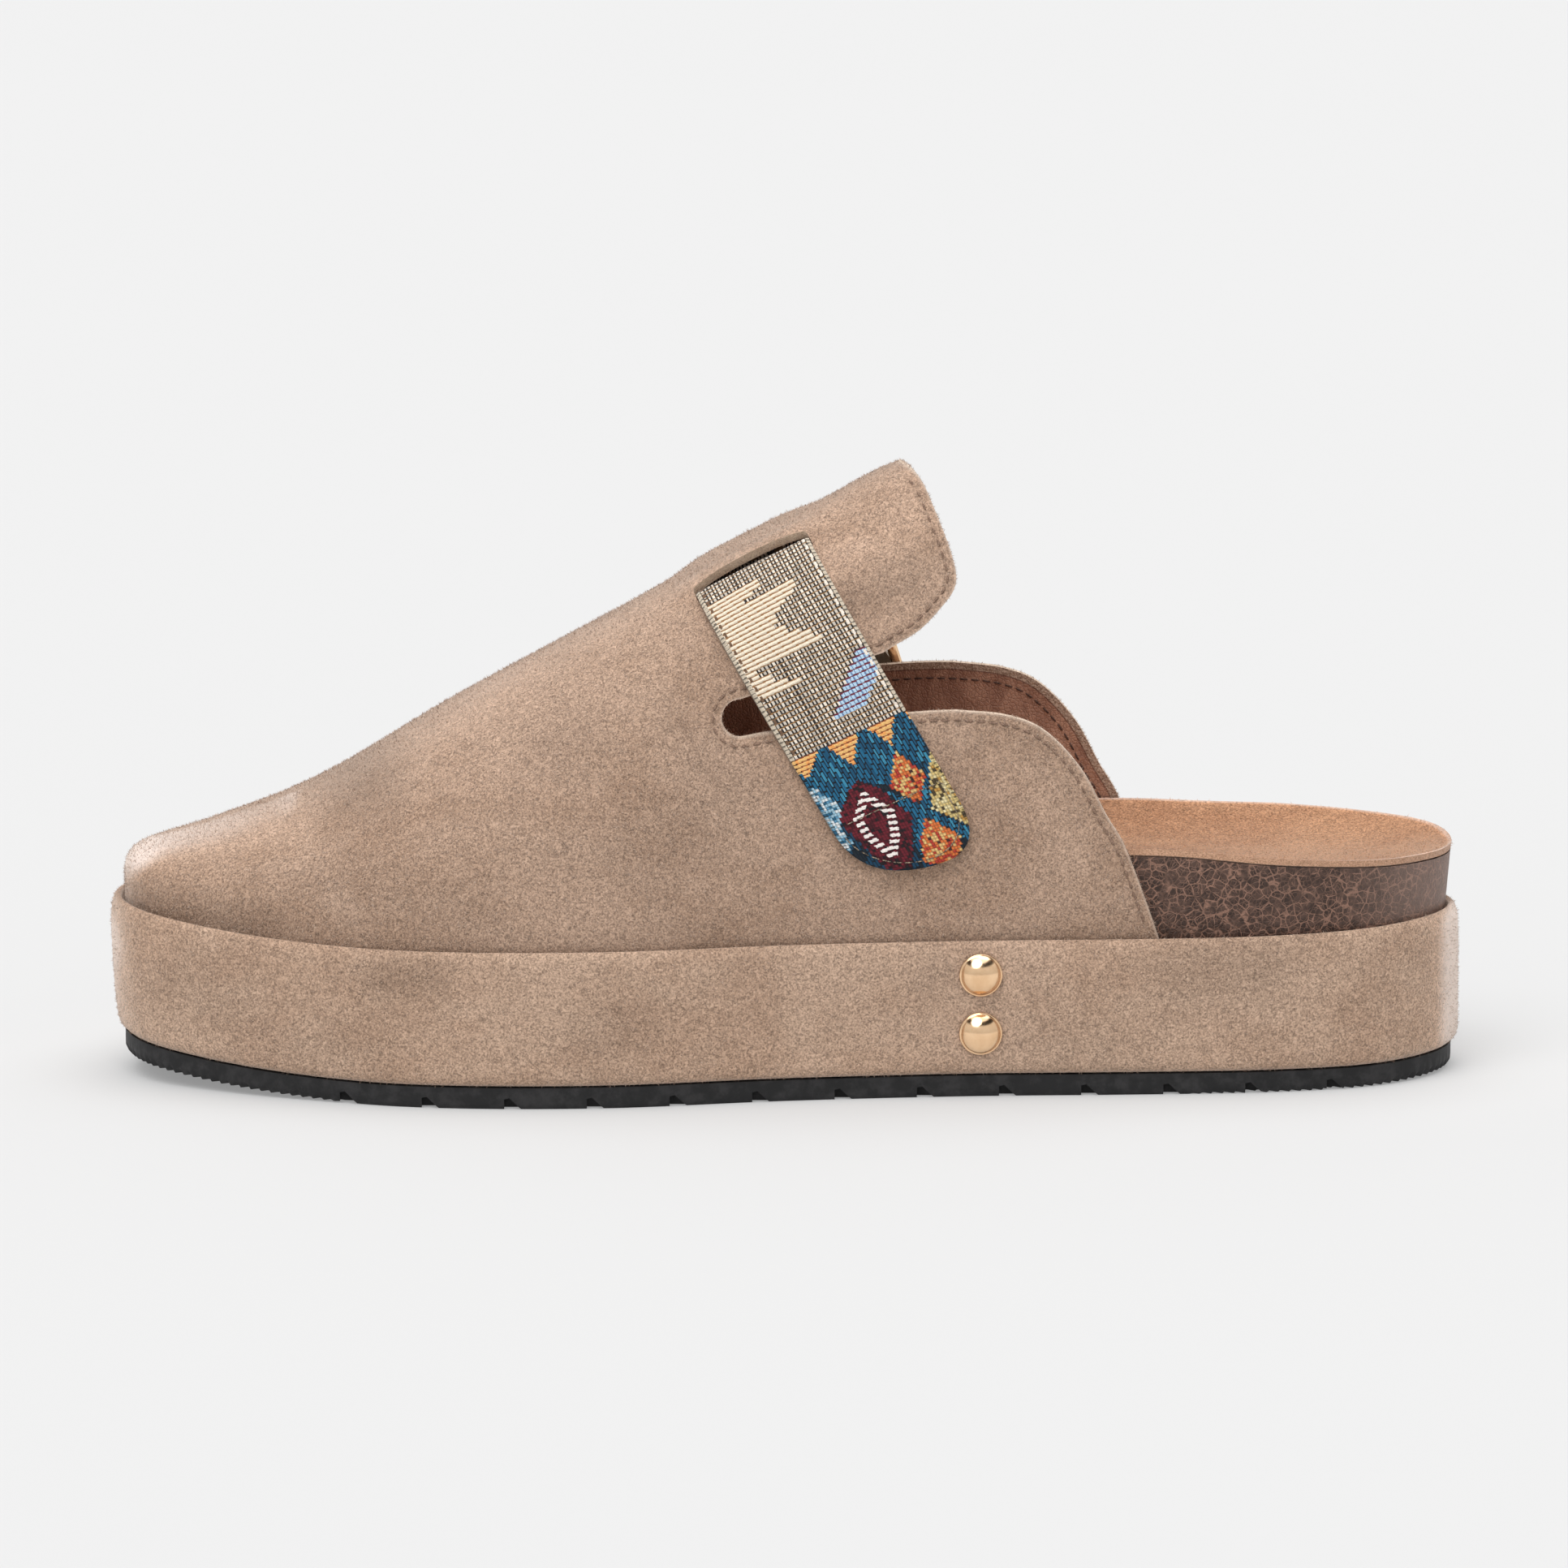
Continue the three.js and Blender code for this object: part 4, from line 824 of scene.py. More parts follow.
def build_upper():
    outside, inside = upper_grid(0.0), upper_grid(-UPPER_WALL)
    skin = Skin()
    skin.grid(outside, 0)
    skin.grid(inside, 1, flip=True)
    skin.strip(inside[:, 0], outside[:, 0], 2)
    skin.strip(inside[:, -1], outside[:, -1], 2, flip=True)
    skin.strip(inside[-1], outside[-1], 2)
    materials = [upper_suede, lining, raw_edge]
    obj = skin.build("upper_shell", materials)
    shell = BVHTree.FromObject(obj, bpy.context.evaluated_depsgraph_get())
    far_x, far_z = LENGTH, SEAT + 2 * INSTEP_HEIGHT
    side = lambda x, z, y: stack(x, y, z)
    skewed = lambda x, z, y: stack(x - flap_shift(y), y, z)
    corners = [(far_x, far_z), (flap_line[0, 0], far_z)]
    opening = [*edge_line.tolist(), (collar_line[-1, 0], 0), (far_x, 0), *corners]
    flap = [*flap_line.tolist(), (far_x, flap_line[-1, 1]), *corners]
    cutters = [prism("opening", opening, side, materials, 2 * BALL_WIDTH),
               prism("flap_trim", flap, skewed, materials, 2 * BALL_WIDTH, FLAP_SLICES)]
    for sign in (-1, 1):
        origin, across, along, outward = strap_frame(sign * SLOT_DROP)
        wide = (STRAP_WIDTH + SLOT_PLAY) / 2
        half_w, half_h = wide - SLOT_CORNER, SLOT_CUT / 2 - SLOT_CORNER
        shift, top = sign * (SLOT_CUT - SLOT_OPENING) / 2, -sign * SLOT_OPENING / 2
        loop = []
        for k in np.mod(2 + sign + np.arange(4), 4):
            for t in np.linspace(k * math.pi / 2, (k + 1) * math.pi / 2, 6):
                u = (half_w if k in (0, 3) else -half_w) + SLOT_CORNER * math.cos(t)
                v = (half_h if k < 2 else -half_h) + SLOT_CORNER * math.sin(t)
                loop.append((u, v + shift))
        loop += [(sign * u, top - sign * SLOT_ARCH * (1 - (u / (0.88 * wide)) ** 2))
                 for u in np.linspace(-0.86, 0.86, 9) * wide]
        put = lambda u, v, w, o=origin, a=across, b=along, c=outward: (
            o + u[:, None] * a + v[:, None] * b + w[:, None] * c)
        cutters.append(prism(f"slot_{sign}", loop, put, materials, 8 * UPPER_WALL))
    cut(obj, cutters)
    clean(obj.data, 1e-7)
    shade(obj, 50)
    points = points_of(obj.data)
    attribute(obj.data, "edge", edge_distance(points))
    # Painted shade: the suede is darker just above the platform's rim, where the upper meets it
    rim_shade = np.exp(-np.maximum(points[:, 2] - rim_top(points[:, 0]), 0) / 2.2)
    attribute(obj.data, "nap_and_light", nap_and_light_tone(points, UPPER_NAP_AND_LIGHT) - 1.1 * rim_shade)
    nap_fibres(obj, "upper_nap", nap_fibre, UPPER_FIBRES, [0])
    nap_fibres(obj, "upper_edge_nap", nap_fibre, EDGE_FIBRES, [2])
    piece(obj, "suede", "upper")
    return shell


shell = build_upper()


# Stitches
STITCH_LENGTH = 1.7
EDGE_STITCH_PITCH, LINING_STITCH_PITCH, STRAP_STITCH_PITCH = 2.35, 2.3, 2.0
LINING_SEAM = 3.4


def on_upper(side_points, sign, start=120):
    """Points and normals of the upper's face seen at places of the side view, from outside or the middle."""
    found, normals = [], []
    for x, z in side_points:
        toward = -sign if start else sign
        hit, normal, _, _ = shell.ray_cast(Vector((x, sign * start, z)) * MM, Vector((0, toward, 0)))
        if hit is None:
            hit, normal, _, _ = shell.find_nearest(Vector((x, 0, z)) * MM)
        found.append(np.array(hit) / MM)
        normals.append(np.array(normal))
    return np.array(found), np.array(normals)


def resample(line, pitch):
    steps = np.concatenate([[0], np.cumsum(np.linalg.norm(np.diff(line, axis=0), axis=1))])
    at = np.arange(pitch / 2, steps[-1], pitch)
    return np.stack([np.interp(at, steps, line[:, k]) for k in range(line.shape[1])], axis=1)


def moved_in(line, inset):
    """The line moved to its left by an inset."""
    along = unit(np.gradient(line, axis=0))
    return line + np.stack([-along[:, 1], along[:, 0]], axis=1) * inset


def stitch(skin, centre, along, normal, length, radius, sink):
    """One stitch: a short thread bowed out of the surface, its ends pulled in."""
    along = unit(along)
    share = np.linspace(-1, 1, 7)
    bow = (1 - share**2) * radius * 1.1 - radius * sink
    path = centre + share[:, None] * along * length / 2 + bow[:, None] * normal
    skin.tube(path, radius * np.sqrt(np.maximum(1 - share**4, 0.15)), 0, 6)


def sew(skin, found, normals, radius, sink=0.35, reach=math.inf):
    """Stitches along a row of places, left out where the row jumps farther than a reach."""
    for k in range(1, len(found) - 1):
        along = found[k + 1] - found[k - 1]
        if np.linalg.norm(along) < reach:
            stitch(skin, found[k], along, normals[k], STITCH_LENGTH, radius, sink)


def edge_stitches():
    skin = Skin()
    line = moved_in(edge_line, -EDGE_SEAM)
    line = line[np.concatenate([[True], np.linalg.norm(np.diff(line, axis=0), axis=1) > 0.05])]
    line = line[(line[:, 1] > SEAT + 4.5) & (line[:, 1] < SEAT + INSTEP_HEIGHT * 0.985)]
    spots = resample(line, EDGE_STITCH_PITCH)
    for sign in (-1, 1):
        found, normals = on_upper(spots, sign)
        shift = flap_move(found[:, 1], spots[:, 1])
        found, normals = on_upper(spots - np.stack([shift, 0 * shift], axis=1), sign)
        sew(skin, found, normals, 0.21, reach=9)
    piece(skin.build("edge_stitches", [taupe_thread], merge=0), "suede")


def lining_stitches():
    """Second row of sewing, inside the collar."""
    skin = Skin()
    line = moved_in(np.concatenate([throat_foot, collar_line[1:]]), -LINING_SEAM)
    spots = resample(line, LINING_STITCH_PITCH)
    spots = spots[spots[:, 1] > SEAT + 12]
    for sign in (-1, 1):
        sew(skin, *on_upper(spots, sign, 0), 0.2)
    piece(skin.build("lining_stitches", [lining_thread], merge=0), "suede")


edge_stitches()
lining_stitches()


# Wrapped platform
def ring(turns, inset, height):
    x = outline_point(turns)[..., 0]
    point = outline(turns, inset(x))
    point[..., 2] = height(point[..., 0])
    return point


def closed(rows):
    """The rings, closed by rows drawn in to the middle line."""
    middle = np.array([1, 0, 1])
    return np.array([rows[0] * middle, *rows, rows[-1] * middle])


def build_platform():
    turns = np.linspace(0, 360, 720, endpoint=False)
    steps = spline(WRAP_PROFILE, 4)
    foot = lambda x: PLATFORM_FOOT + toe_rise(x) + heel_rise(x)
    rows = []
    for inset, height in steps:
        row = ring(turns, lambda x: inset * RIM_THICKNESS + toe_inset(x) * (1 - height),
                   lambda x: foot(x) + (rim_top(x) - foot(x)) * height)
        wave = 0.12 * np.sin(np.radians(turns) * 9 + height * 3) + 0.1 * np.sin(np.radians(turns) * 23 + 1)
        soft = smooth(height, 0.05, 0.3) * (1 - smooth(height, 0.75, 1.0))
        rows.append(row + unit(row * np.array([1, 1, 0])) * (wave * soft)[:, None])
    rows.append(ring(turns, lambda x: RIM_THICKNESS + 0 * x, lambda x: SEAT + toe_rise(x)))
    skin = Skin()
    skin.grid(closed(rows), 0, wrap=True, flip=True)
    obj = skin.build("platform_wrap", [wrap_suede], 60)
    points = points_of(obj.data)
    attribute(obj.data, "nap_and_light", nap_and_light_tone(points, WRAP_NAP_AND_LIGHT))
    piece(obj, "suede", "platform")
    nap_fibres(obj, "platform_nap", nap_fibre, WRAP_FIBRES, [0])


build_platform()


NOTCH_DEPTH = 2.8
TOOTH_PITCH = 2.3


def build_outsole():
    turns = np.linspace(0, 360, 1400, endpoint=False)
    ground = lambda x: toe_rise(x) + heel_rise(x)
    side = lambda x: OUTSOLE_INSET + toe_inset(x)
    rim = outline_point(turns)
    run = np.concatenate([[0], np.cumsum(np.linalg.norm(np.diff(rim, axis=0), axis=1))])
    tooth = np.mod(run / TOOTH_PITCH, 1)
    toothed = smooth(np.abs(rim[:, 0] + 4), 82, 90)
    saw = np.where(tooth < 0.5, tooth, 1 - tooth) * 2 * toothed
    # Columns: inset, height, share of the teeth
    profile = [(1.3, 0.0, 0.9), (0.55, 0.02, 0.9), (0.1, 0.5, 0.9), (0.0, 0.9, 0.5), (0.0, 1.6, 0.0),
               (0.0, 3.2, 0.0), (0.0, OUTSOLE_THICKNESS - 0.1, 0.0), (0.3, OUTSOLE_THICKNESS, 0.0)]
    rows = []
    for inset, up, teeth in profile:
        row = ring(turns, lambda x: side(x) + inset, lambda x: ground(x) + up)
        row[:, :2] -= (unit(rim) * (saw * teeth * 0.8)[:, None])[:, :2]
        row[:, 2] += saw * teeth * 0.35
        rows.append(row)
    skin = Skin()
    skin.grid(closed(rows), 0, wrap=True, flip=True)
    obj = skin.build("outsole_rubber", [rubber])
    cutters = []
    for k in range(NOTCH_COUNT):
        x = FIRST_NOTCH + k * NOTCH_PITCH
        low = float(ground(x))
        shape = [(x + NOTCH_LENGTH * u, low + NOTCH_HEIGHT * v)
                 for u, v in ((0, -1), (1, -1), (1, 0), (0.3, 1), (0, 0.9))]
        for outer in (False, True):
            y = float(outline_side(angle_at(x / LENGTH), outer, OUTSOLE_INSET)[1])
            put = lambda u, v, w, y=y: stack(u, w + y, v)
            cutters.append(prism(f"notch_{k}_{outer}", shape, put, [rubber], 2 * NOTCH_DEPTH))
    cut(obj, cutters)
    shade(obj, 40)
    piece(obj, "tread_rubber", "outsole")


build_outsole()


# Footbed and insole
BED_FRONT = 9
INSOLE_FIBRES, INSOLE_EDGE_FIBRES = 26000, 18000


def bed_side(angle, outer, height):
    """Edge of the bed on a side: inside the upper in front, free behind it."""
    inward = -(UPPER_WALL + GAP) + 0 * angle
    arc_of = lambda s: 180 - s if outer else s
    wall = lambda side: upper_offset(angle, arc_of(side), inward)
    front = wall(bisect(0.5, 80.0, len(angle), lambda side: wall(side)[:, 2] < height, 24))
    up = (height - SEAT) / HEEL_CUP_HEIGHT
    inset = FOOTBED_FOOT_INSET + (FOOTBED_TOP_INSET - FOOTBED_FOOT_INSET) * up
    back = outline_side(angle, outer, inset)
    share = smooth(angle, BACK_ANGLE, BACK_ANGLE + 14)[:, None]
    point = front + (back - front) * share
    point[:, 2] = height
    return point


def bed_height(angle, column, drop):
    x = outline_side(angle, False, 0 * angle)[:, 0]
    return SEAT + toe_rise(x) + HEEL_CUP_HEIGHT * curve(BED[:, 0], BED[:, column], angle) - drop


def bed_grid(angle, drop, columns=36, edge_round=0.0):
    inner = bed_side(angle, False, bed_height(angle, 2, drop))
    outer = bed_side(angle, True, bed_height(angle, 3, drop))
    middle = bed_height(angle, 1, drop)
    across = np.sin(np.linspace(-math.pi / 2, math.pi / 2, columns))
    share = ((1 + across) / 2)[None, :, None]
    grid = inner[:, None] + (outer - inner)[:, None] * share
    edge = np.where(across[None, :] < 0, inner[:, 2][:, None], outer[:, 2][:, None])
    grid[..., 2] = middle[:, None] + (edge - middle[:, None]) * np.abs(across)[None, :] ** 3
    grid[..., 2] -= edge_round * smooth(np.abs(across), 0.975, 1.0)[None, :]
    return grid


def build_bed():
    share = np.linspace(0, 1, 190)
    angle = BED_FRONT + (180 - BED_FRONT) * share
    top = bed_grid(angle, INSOLE_THICKNESS + GAP)
    seat = SEAT + GAP + toe_rise(outline_side(angle, False, 0 * angle)[:, 0])
    foot_in, foot_out = bed_side(angle, False, seat), bed_side(angle, True, seat)
    across = ((1 + np.sin(np.linspace(-math.pi / 2, math.pi / 2, 36))) / 2)[None, :, None]
    foot = foot_in[:, None] + (foot_out - foot_in)[:, None] * across
    body = Skin()
    body.grid(top, 0)
    body.grid(foot, 0, flip=True)
    levels = np.linspace(0, 1, 9)[None, :, None]
    for j, flip in ((0, False), (-1, True)):
        body.grid(foot[:, j][:, None] + (top[:, j] - foot[:, j])[:, None] * levels, 0, flip=flip)
    body.strip(foot[0], top[0], flip=True)
    piece(body.build("footbed_cork", [cork], 50, merge=0.002), "cork", "footbed")

    top, under = bed_grid(angle, 0.0, 60, 0.25), bed_grid(angle, INSOLE_THICKNESS, 60)
    skin = Skin()
    skin.grid(top, 0)
    skin.grid(under, 1, flip=True)
    for j, flip in ((0, False), (-1, True)):
        skin.grid(np.stack([under[:, j], (under[:, j] + top[:, j]) / 2, top[:, j]], axis=1), 1, flip=flip)
    skin.strip(under[0], top[0], 1, flip=True)
    obj = skin.build("insole_lining", [insole_suede, insole_edge], 55, merge=0.002)
    points = points_of(obj.data)
    # Lighter fringe along the insole's top edge: partly its paler fuzzy cut edge, partly a painted highlight
    fringe = np.minimum(*(line_distance(points[:, :2], top[:, j, :2]) for j in (0, -1)))
    attribute(obj.data, "nap_and_light", 1.5 * (1 - smooth(fringe, 0.3, 1.6)))
    piece(obj, "insole_suede", "insole")
    nap_fibres(obj, "insole_nap", insole_fibre, INSOLE_FIBRES, [0], "insole_suede", 0.4)
    nap_fibres(obj, "insole_edge_nap", insole_fibre, INSOLE_EDGE_FIBRES, [1], "insole_suede", 0.7)


build_bed()

# Strap: its threads, their pitches and colours
END_SLANT = 1.6
WARP_PITCH, RIB_PITCH = 0.8, 0.98
THREAD, PICK = 0.6, 0.62
# CREAM_GAP, the line between ribs, is partly the ochre thread there and partly painted shade between the ribs
CREAM, CREAM_GAP = (234, 220, 198), (158, 116, 76)
DOT, NIGHT, OCHRE = (212, 202, 188), (44, 38, 36), (150, 112, 70)
WHITE = (240, 232, 226)
FIGURES_LENGTH = 31.0
# Shares of each colour among the threads of a woven figure
PALETTES = {
    "petrol": [(0.5, (30, 102, 138)), (0.8, (20, 78, 110)), (1.0, (58, 136, 168))],
    "edging": [(0.6, (18, 62, 88)), (1.0, (22, 34, 44))],
    "gold": [(0.7, (232, 184, 116)), (1.0, (238, 164, 92))],
    "orange": [(0.42, (228, 122, 62)), (0.64, (190, 62, 48)), (0.92, (238, 196, 126)), (1.0, (70, 40, 36))],
    "straw": [(0.5, (222, 196, 130)), (0.74, (240, 224, 172)), (0.9, (84, 70, 48)), (1.0, (200, 152, 76))],
    "maroon": [(0.55, (112, 28, 42)), (0.86, (76, 18, 30)), (1.0, (34, 20, 26))],
    "sky": [(0.45, (160, 200, 220)), (0.62, (230, 236, 238)), (0.85, (38, 98, 130)), (1.0, (92, 150, 184))],
}
# Cream steps from the front edge: along the strap, and how far across they reach as a share
STEPS = [(-37, 0), (-35.8, 0.48), (-34.6, 0.4), (-33.5, 0.3), (-32.4, 0.2), (-31.9, 0.73), (-30.6, 0.68),
         (-29.4, 0.6), (-28.2, 0.53), (-27, 0.47), (-25.9, 0.42), (-24.4, 0.5), (-22.9, 0.58), (-21.2, 0.66),
         (-19.5, 0.71), (-18.2, 0.12), (-16.6, 0.2), (-15, 0.3), (-13.4, 0.39), (-12.6, 0.0)]
BLUE_STRIPE = [(0.88, -13.4), (1.05, -13.6), (1.05, -10.2), (0.72, -3.6), (0.44, -3.6)]
# Figures of the coloured end, each over the ones before it, in shares across and millimetres along
SHAPES = [
    ("edging", [(0, 0), (1, 0), (1, 34), (0, 34)]),
    ("petrol", [(0, 0), (1, 0), (1, 6.5), (0.92, 9.5), (0.86, 10.2), (0.77, 6.3), (0.7, 9.5),
                (0.6, 12.2), (0.5, 11), (0.4, 9.5), (0.26, 11.5), (0.14, 13), (0.08, 8), (0, 6)]),
    ("petrol", [(0.94, 7.5), (0.98, 9.5), (0.74, 19.5), (0.7, 17.5), (0.88, 12.2)]),
    ("petrol", [(0.72, 18.2), (0.97, 25), (0.9, 27), (0.7, 20.5), (0.52, 28), (0.5, 25), (0.6, 20),
                (0.52, 12.5)]),
    ("gold", [(-0.06, -0.4), (0.235, -0.4), (0.05, 4.7)]),
    ("gold", [(0.3, -0.4), (0.575, -0.4), (0.41, 5.9)]),
    ("gold", [(0.645, -0.4), (0.895, -0.4), (0.755, 4.9)]),
    ("gold", [(0.965, -0.4), (1.1, -0.4), (1.03, 3.8)]),
    ("sky", [(0, 6), (0.09, 8.6), (0.15, 12.6), (0.07, 16.5), (0.09, 21), (0, 23)]),
    ("straw", [(0.98, 8.9), (1, 8.5), (1, 24.5), (0.95, 23.6), (0.77, 19.2), (0.86, 14.4)]),
    ("orange", [(0.755, 5.9), (0.87, 12.2), (0.71, 17.5), (0.575, 12.4)]),
    ("maroon", [(0.38, 8.6), (0.26, 10.2), (0.12, 13.8), (0.09, 17.2), (0.22, 28.6), (0.4, 29.6), (0.6, 19),
                (0.5, 12)]),
    ("orange", [(0.7, 20), (0.86, 25.6), (0.8, 29), (0.62, 31), (0.5, 28.8), (0.56, 24.4)]),
]
ZIGZAG = [(0.36, 12.2), (0.475, 17.1), (0.42, 21.6), (0.31, 25.9), (0.225, 20.6), (0.215, 16.6), (0.36, 12.2)]


def inside(polygon, a, b):
    """Which places lie in a polygon."""
    corners = np.array(polygon, float)
    found = np.zeros(a.shape, bool)
    for (x0, y0), (x1, y1) in zip(corners, np.roll(corners, -1, axis=0)):
        if y0 != y1:
            found ^= ((y0 > b) != (y1 > b)) & (a < (x1 - x0) * (b - y0) / (y1 - y0) + x0)
    return found


def scatter(column, row):
    """Even random share for each thread crossing."""
    return np.mod(np.sin(column * 12.9898 + row * 78.233) * 43758.5453, 1)


def grey_weave(a, b, color, relief):
    """Dotted ground with ribbed cream steps and a blue slanted stripe."""
    warp, weft = a * STRAP_WIDTH / WARP_PITCH, b / RIB_PITCH
    column, row = np.floor(warp), np.floor(weft)
    across, along = np.mod(warp, 1), np.mod(weft, 1)
    tone = 0.88 + 0.24 * scatter(column, row)
    dot = (across > 0.2) & (across < 0.76) & (along > 0.2) & (along < 0.9)
    color[:] = NIGHT
    color[along < 0.2] = OCHRE
    color[dot] = (np.array(DOT) * tone[..., None])[dot]
    relief[:] = 0.1 * np.sin(np.pi * along) * (0.4 + 0.6 * np.sin(np.pi * across))
    reach = np.zeros(a.shape)
    middle = (row + 0.5) * RIB_PITCH
    for (start, width), (stop, _) in zip(STEPS[:-1], STEPS[1:]):
        reach[(middle >= start) & (middle < stop)] = width
    cream = a < reach
    # Painted light and shade: each cream rib is lighter at its crest and darker at its flanks
    rib = np.sin(np.pi * np.clip((along - 0.16) / 0.84, 0, 1))
    color[cream] = (np.array(CREAM) * (0.8 + 0.22 * np.sqrt(rib))[..., None])[cream]
    color[cream & (along < 0.24)] = CREAM_GAP
    relief[cream] = 0.26 * np.sqrt(rib[cream])
    stripe = inside(BLUE_STRIPE, a, (row + 0.5) * RIB_PITCH)
    color[stripe] = (182, 210, 230)
    color[stripe & ((across < 0.16) | (across > 0.84))] = (106, 134, 172)
    color[stripe & (along < 0.3)] = (106, 44, 58)


def figure_weave(a, b, color, relief):
    """Figures of the coloured end, thread by thread."""
    column, row = np.floor(a * STRAP_WIDTH / THREAD), np.floor(b / PICK)
    across, along = np.mod(a * STRAP_WIDTH / THREAD, 1), np.mod(b / PICK, 1)
    at_a, at_b = (column + 0.5) * THREAD / STRAP_WIDTH, (row + 0.5) * PICK
    figure = np.full(a.shape, -1)
    for number, (_, polygon) in enumerate(SHAPES):
        figure[inside(polygon, at_a, at_b)] = number
    float_run = (b + 0.9 * column) / 2.4
    for number, (name, _) in enumerate(SHAPES):
        here = figure == number
        luck = scatter(column, np.floor(float_run)) if name in ("petrol", "edging") else scatter(column, row)
        low = 0.0
        for share, tint in PALETTES[name]:
            color[here & (luck >= low) & (luck < share)] = tint
            low = share
        if name in ("petrol", "edging"):
            color[here & ((across < 0.26) | (np.mod(float_run, 1) < 0.16))] = (12, 22, 32)
            relief[here] = 0.16 * np.sin(np.pi * across[here])
        elif name == "gold":
            color[here & (np.mod(b / 0.9, 1) < 0.28)] = (138, 74, 44)
            relief[here] = 0.12 * np.sin(np.pi * np.mod(b[here] / 0.9, 1))
        else:
            # Painted light and shade: each thread crossing is lighter in its middle and darker at its edges
            color[here] *= (0.72 + 0.34 * np.sin(np.pi * across) * np.sin(np.pi * along))[here][:, None]
            relief[here] = 0.14 * np.sin(np.pi * across[here])
    place = np.stack([a * STRAP_WIDTH, b], axis=-1).reshape(-1, 2)
    away = line_distance(place, [(x * STRAP_WIDTH, y) for x, y in ZIGZAG])
    tilt = b - 1.2 * (a - 0.33) * STRAP_WIDTH * np.where(a < 0.33, -0.12, 0.2)
    white = (away.reshape(a.shape) < 0.85) & (np.mod(tilt / 1.4, 1) < 0.52)
    color[white] = WHITE
    relief[white] = 0.22


def weave(a, along):
    """Colour and relief of the webbing at shares across and millimetres along from its dark border."""
    b = along + (2.2 + 1.8 * smooth(along, -15, 0)) * (a - 0.5) - smooth(along, -15, 0)
    color, relief = np.zeros((*a.shape, 3)), np.zeros(a.shape)
    grey_weave(a, b, color, relief)
    end_color, end_relief = color.copy(), relief.copy()
    figure_weave(a, b, end_color, end_relief)
    ends = b > 0
    color[ends], relief[ends] = end_color[ends], end_relief[ends]
    binding = np.abs(a - 0.5) > 0.468
    cross = np.mod(b / 0.9, 1) < 0.3
    color[binding & ~ends] = (204, 190, 170)
    color[binding & cross] *= 0.55
    seam = (np.abs(np.abs(a - 0.5) - 0.45) < 0.012) & (np.mod(b / 2.2, 1) < 0.5) & ~ends
    color[seam] = np.where((a < 0.5)[..., None], (112, 86, 66), (238, 226, 212))[seam]
    return np.clip(color, 0, 255), relief


def end_slant(run, share):
    """How far the strap's slanted inner end moves along it at a share across."""
    return END_SLANT * (1 - smooth(run - END_RUN, 4, 30)) * (2 * share - 1)


def build_strap():
    near_edge = -(SLOT_TOP + 1.5)
    far_edge = SLOT_TOP + 2
    # Rows as fine as the threads where the strap shows, and coarse under the flap
    near = np.arange(END_RUN + 0.05, near_edge, 0.19)
    hidden = np.arange(near_edge, far_edge, 1.5)
    far = np.arange(far_edge, LAST_RUN - 0.05, 0.31)
    runs = np.concatenate([near, hidden, far])
    half = strap_half(runs)[:, None]
    across = half * (2 * np.linspace(0, 1, 145)[None, :] - 1)
    share = across / STRAP_WIDTH + 0.5
    moved = runs[:, None] + end_slant(runs[:, None], share)
    tip_gap = np.where(moved < 0, moved - END_RUN, LAST_RUN - moved)
    color, relief = weave(share, FIGURES_LENGTH - tip_gap)
    arcs = arc_at(moved)
    rest = strap_height(runs)[:, None] + 0 * across
    edge = np.minimum(half - np.abs(across), 0.6)
    selvedge = 0.3 * (1 - smooth(edge, 0, 0.6))
    top = strap_point(arcs, across, rest + STRAP_THICKNESS - 0.15 + relief - selvedge)
    under = strap_point(arcs[:, ::12], across[:, ::12], rest[:, ::12])
    skin = Skin()
    quads = skin.grid(top, 0, flip=True)
    skin.grid(under, 0)
    for j, flip in ((0, True), (-1, False)):
        skin.strip(strap_point(arcs[:, j], across[:, j], rest[:, j]), top[:, j], flip=flip)
    for i, flip in ((0, False), (-1, True)):
        skin.strip(strap_point(arcs[i], across[i], rest[i]), top[i], flip=flip)
    obj = skin.build("strap_webbing", [webbing], merge=0)
    mesh = obj.data
    tint = np.tile((150.0, 136.0, 118.0), (len(mesh.polygons), 1))
    tint[:len(quads)] = color[:-1, :-1].reshape(-1, 3)
    values = np.concatenate([np.repeat(linear(tint), 4, axis=0), np.ones((len(tint) * 4, 1))], axis=1)
    layer = mesh.color_attributes.new("thread", "FLOAT_COLOR", "CORNER")
    layer.data.foreach_set("color", values.astype(np.float32).ravel())
    piece(obj, "webbing", "strap")


build_strap()


def strap_stitches():
    """Fine sewing round the strap's inner end and across it."""
    skin = Skin()
    half = STRAP_WIDTH / 2 - 1.5
    up = 12.5
    path = [(-half, t) for t in np.linspace(up, 11, 3)]
    path += [(-half * math.cos(t), 11 - 9.5 * math.sin(t)) for t in np.linspace(0, math.pi, 16)]
    path += [(half, t) for t in np.linspace(11, up + 4, 5)]
    path += [(x, up + 4 - (half - x) / (2 * half) * 4) for x in np.linspace(half, -half, 10)[1:]]
    spots = resample(np.array(path), STRAP_STITCH_PITCH)
    arcs = arc_at(END_RUN + spots[:, 1] + end_slant(END_RUN + spots[:, 1], spots[:, 0] / STRAP_WIDTH + 0.5))
    found = strap_point(arcs, spots[:, 0], strap_height(END_RUN + spots[:, 1]) + STRAP_THICKNESS)
    _, _, _, outward = strap_frame(END_RUN + 12)
    sew(skin, found, [outward] * len(found), 0.13, 0.1)
    piece(skin.build("strap_stitches", [strap_thread], merge=0), "webbing")


strap_stitches()


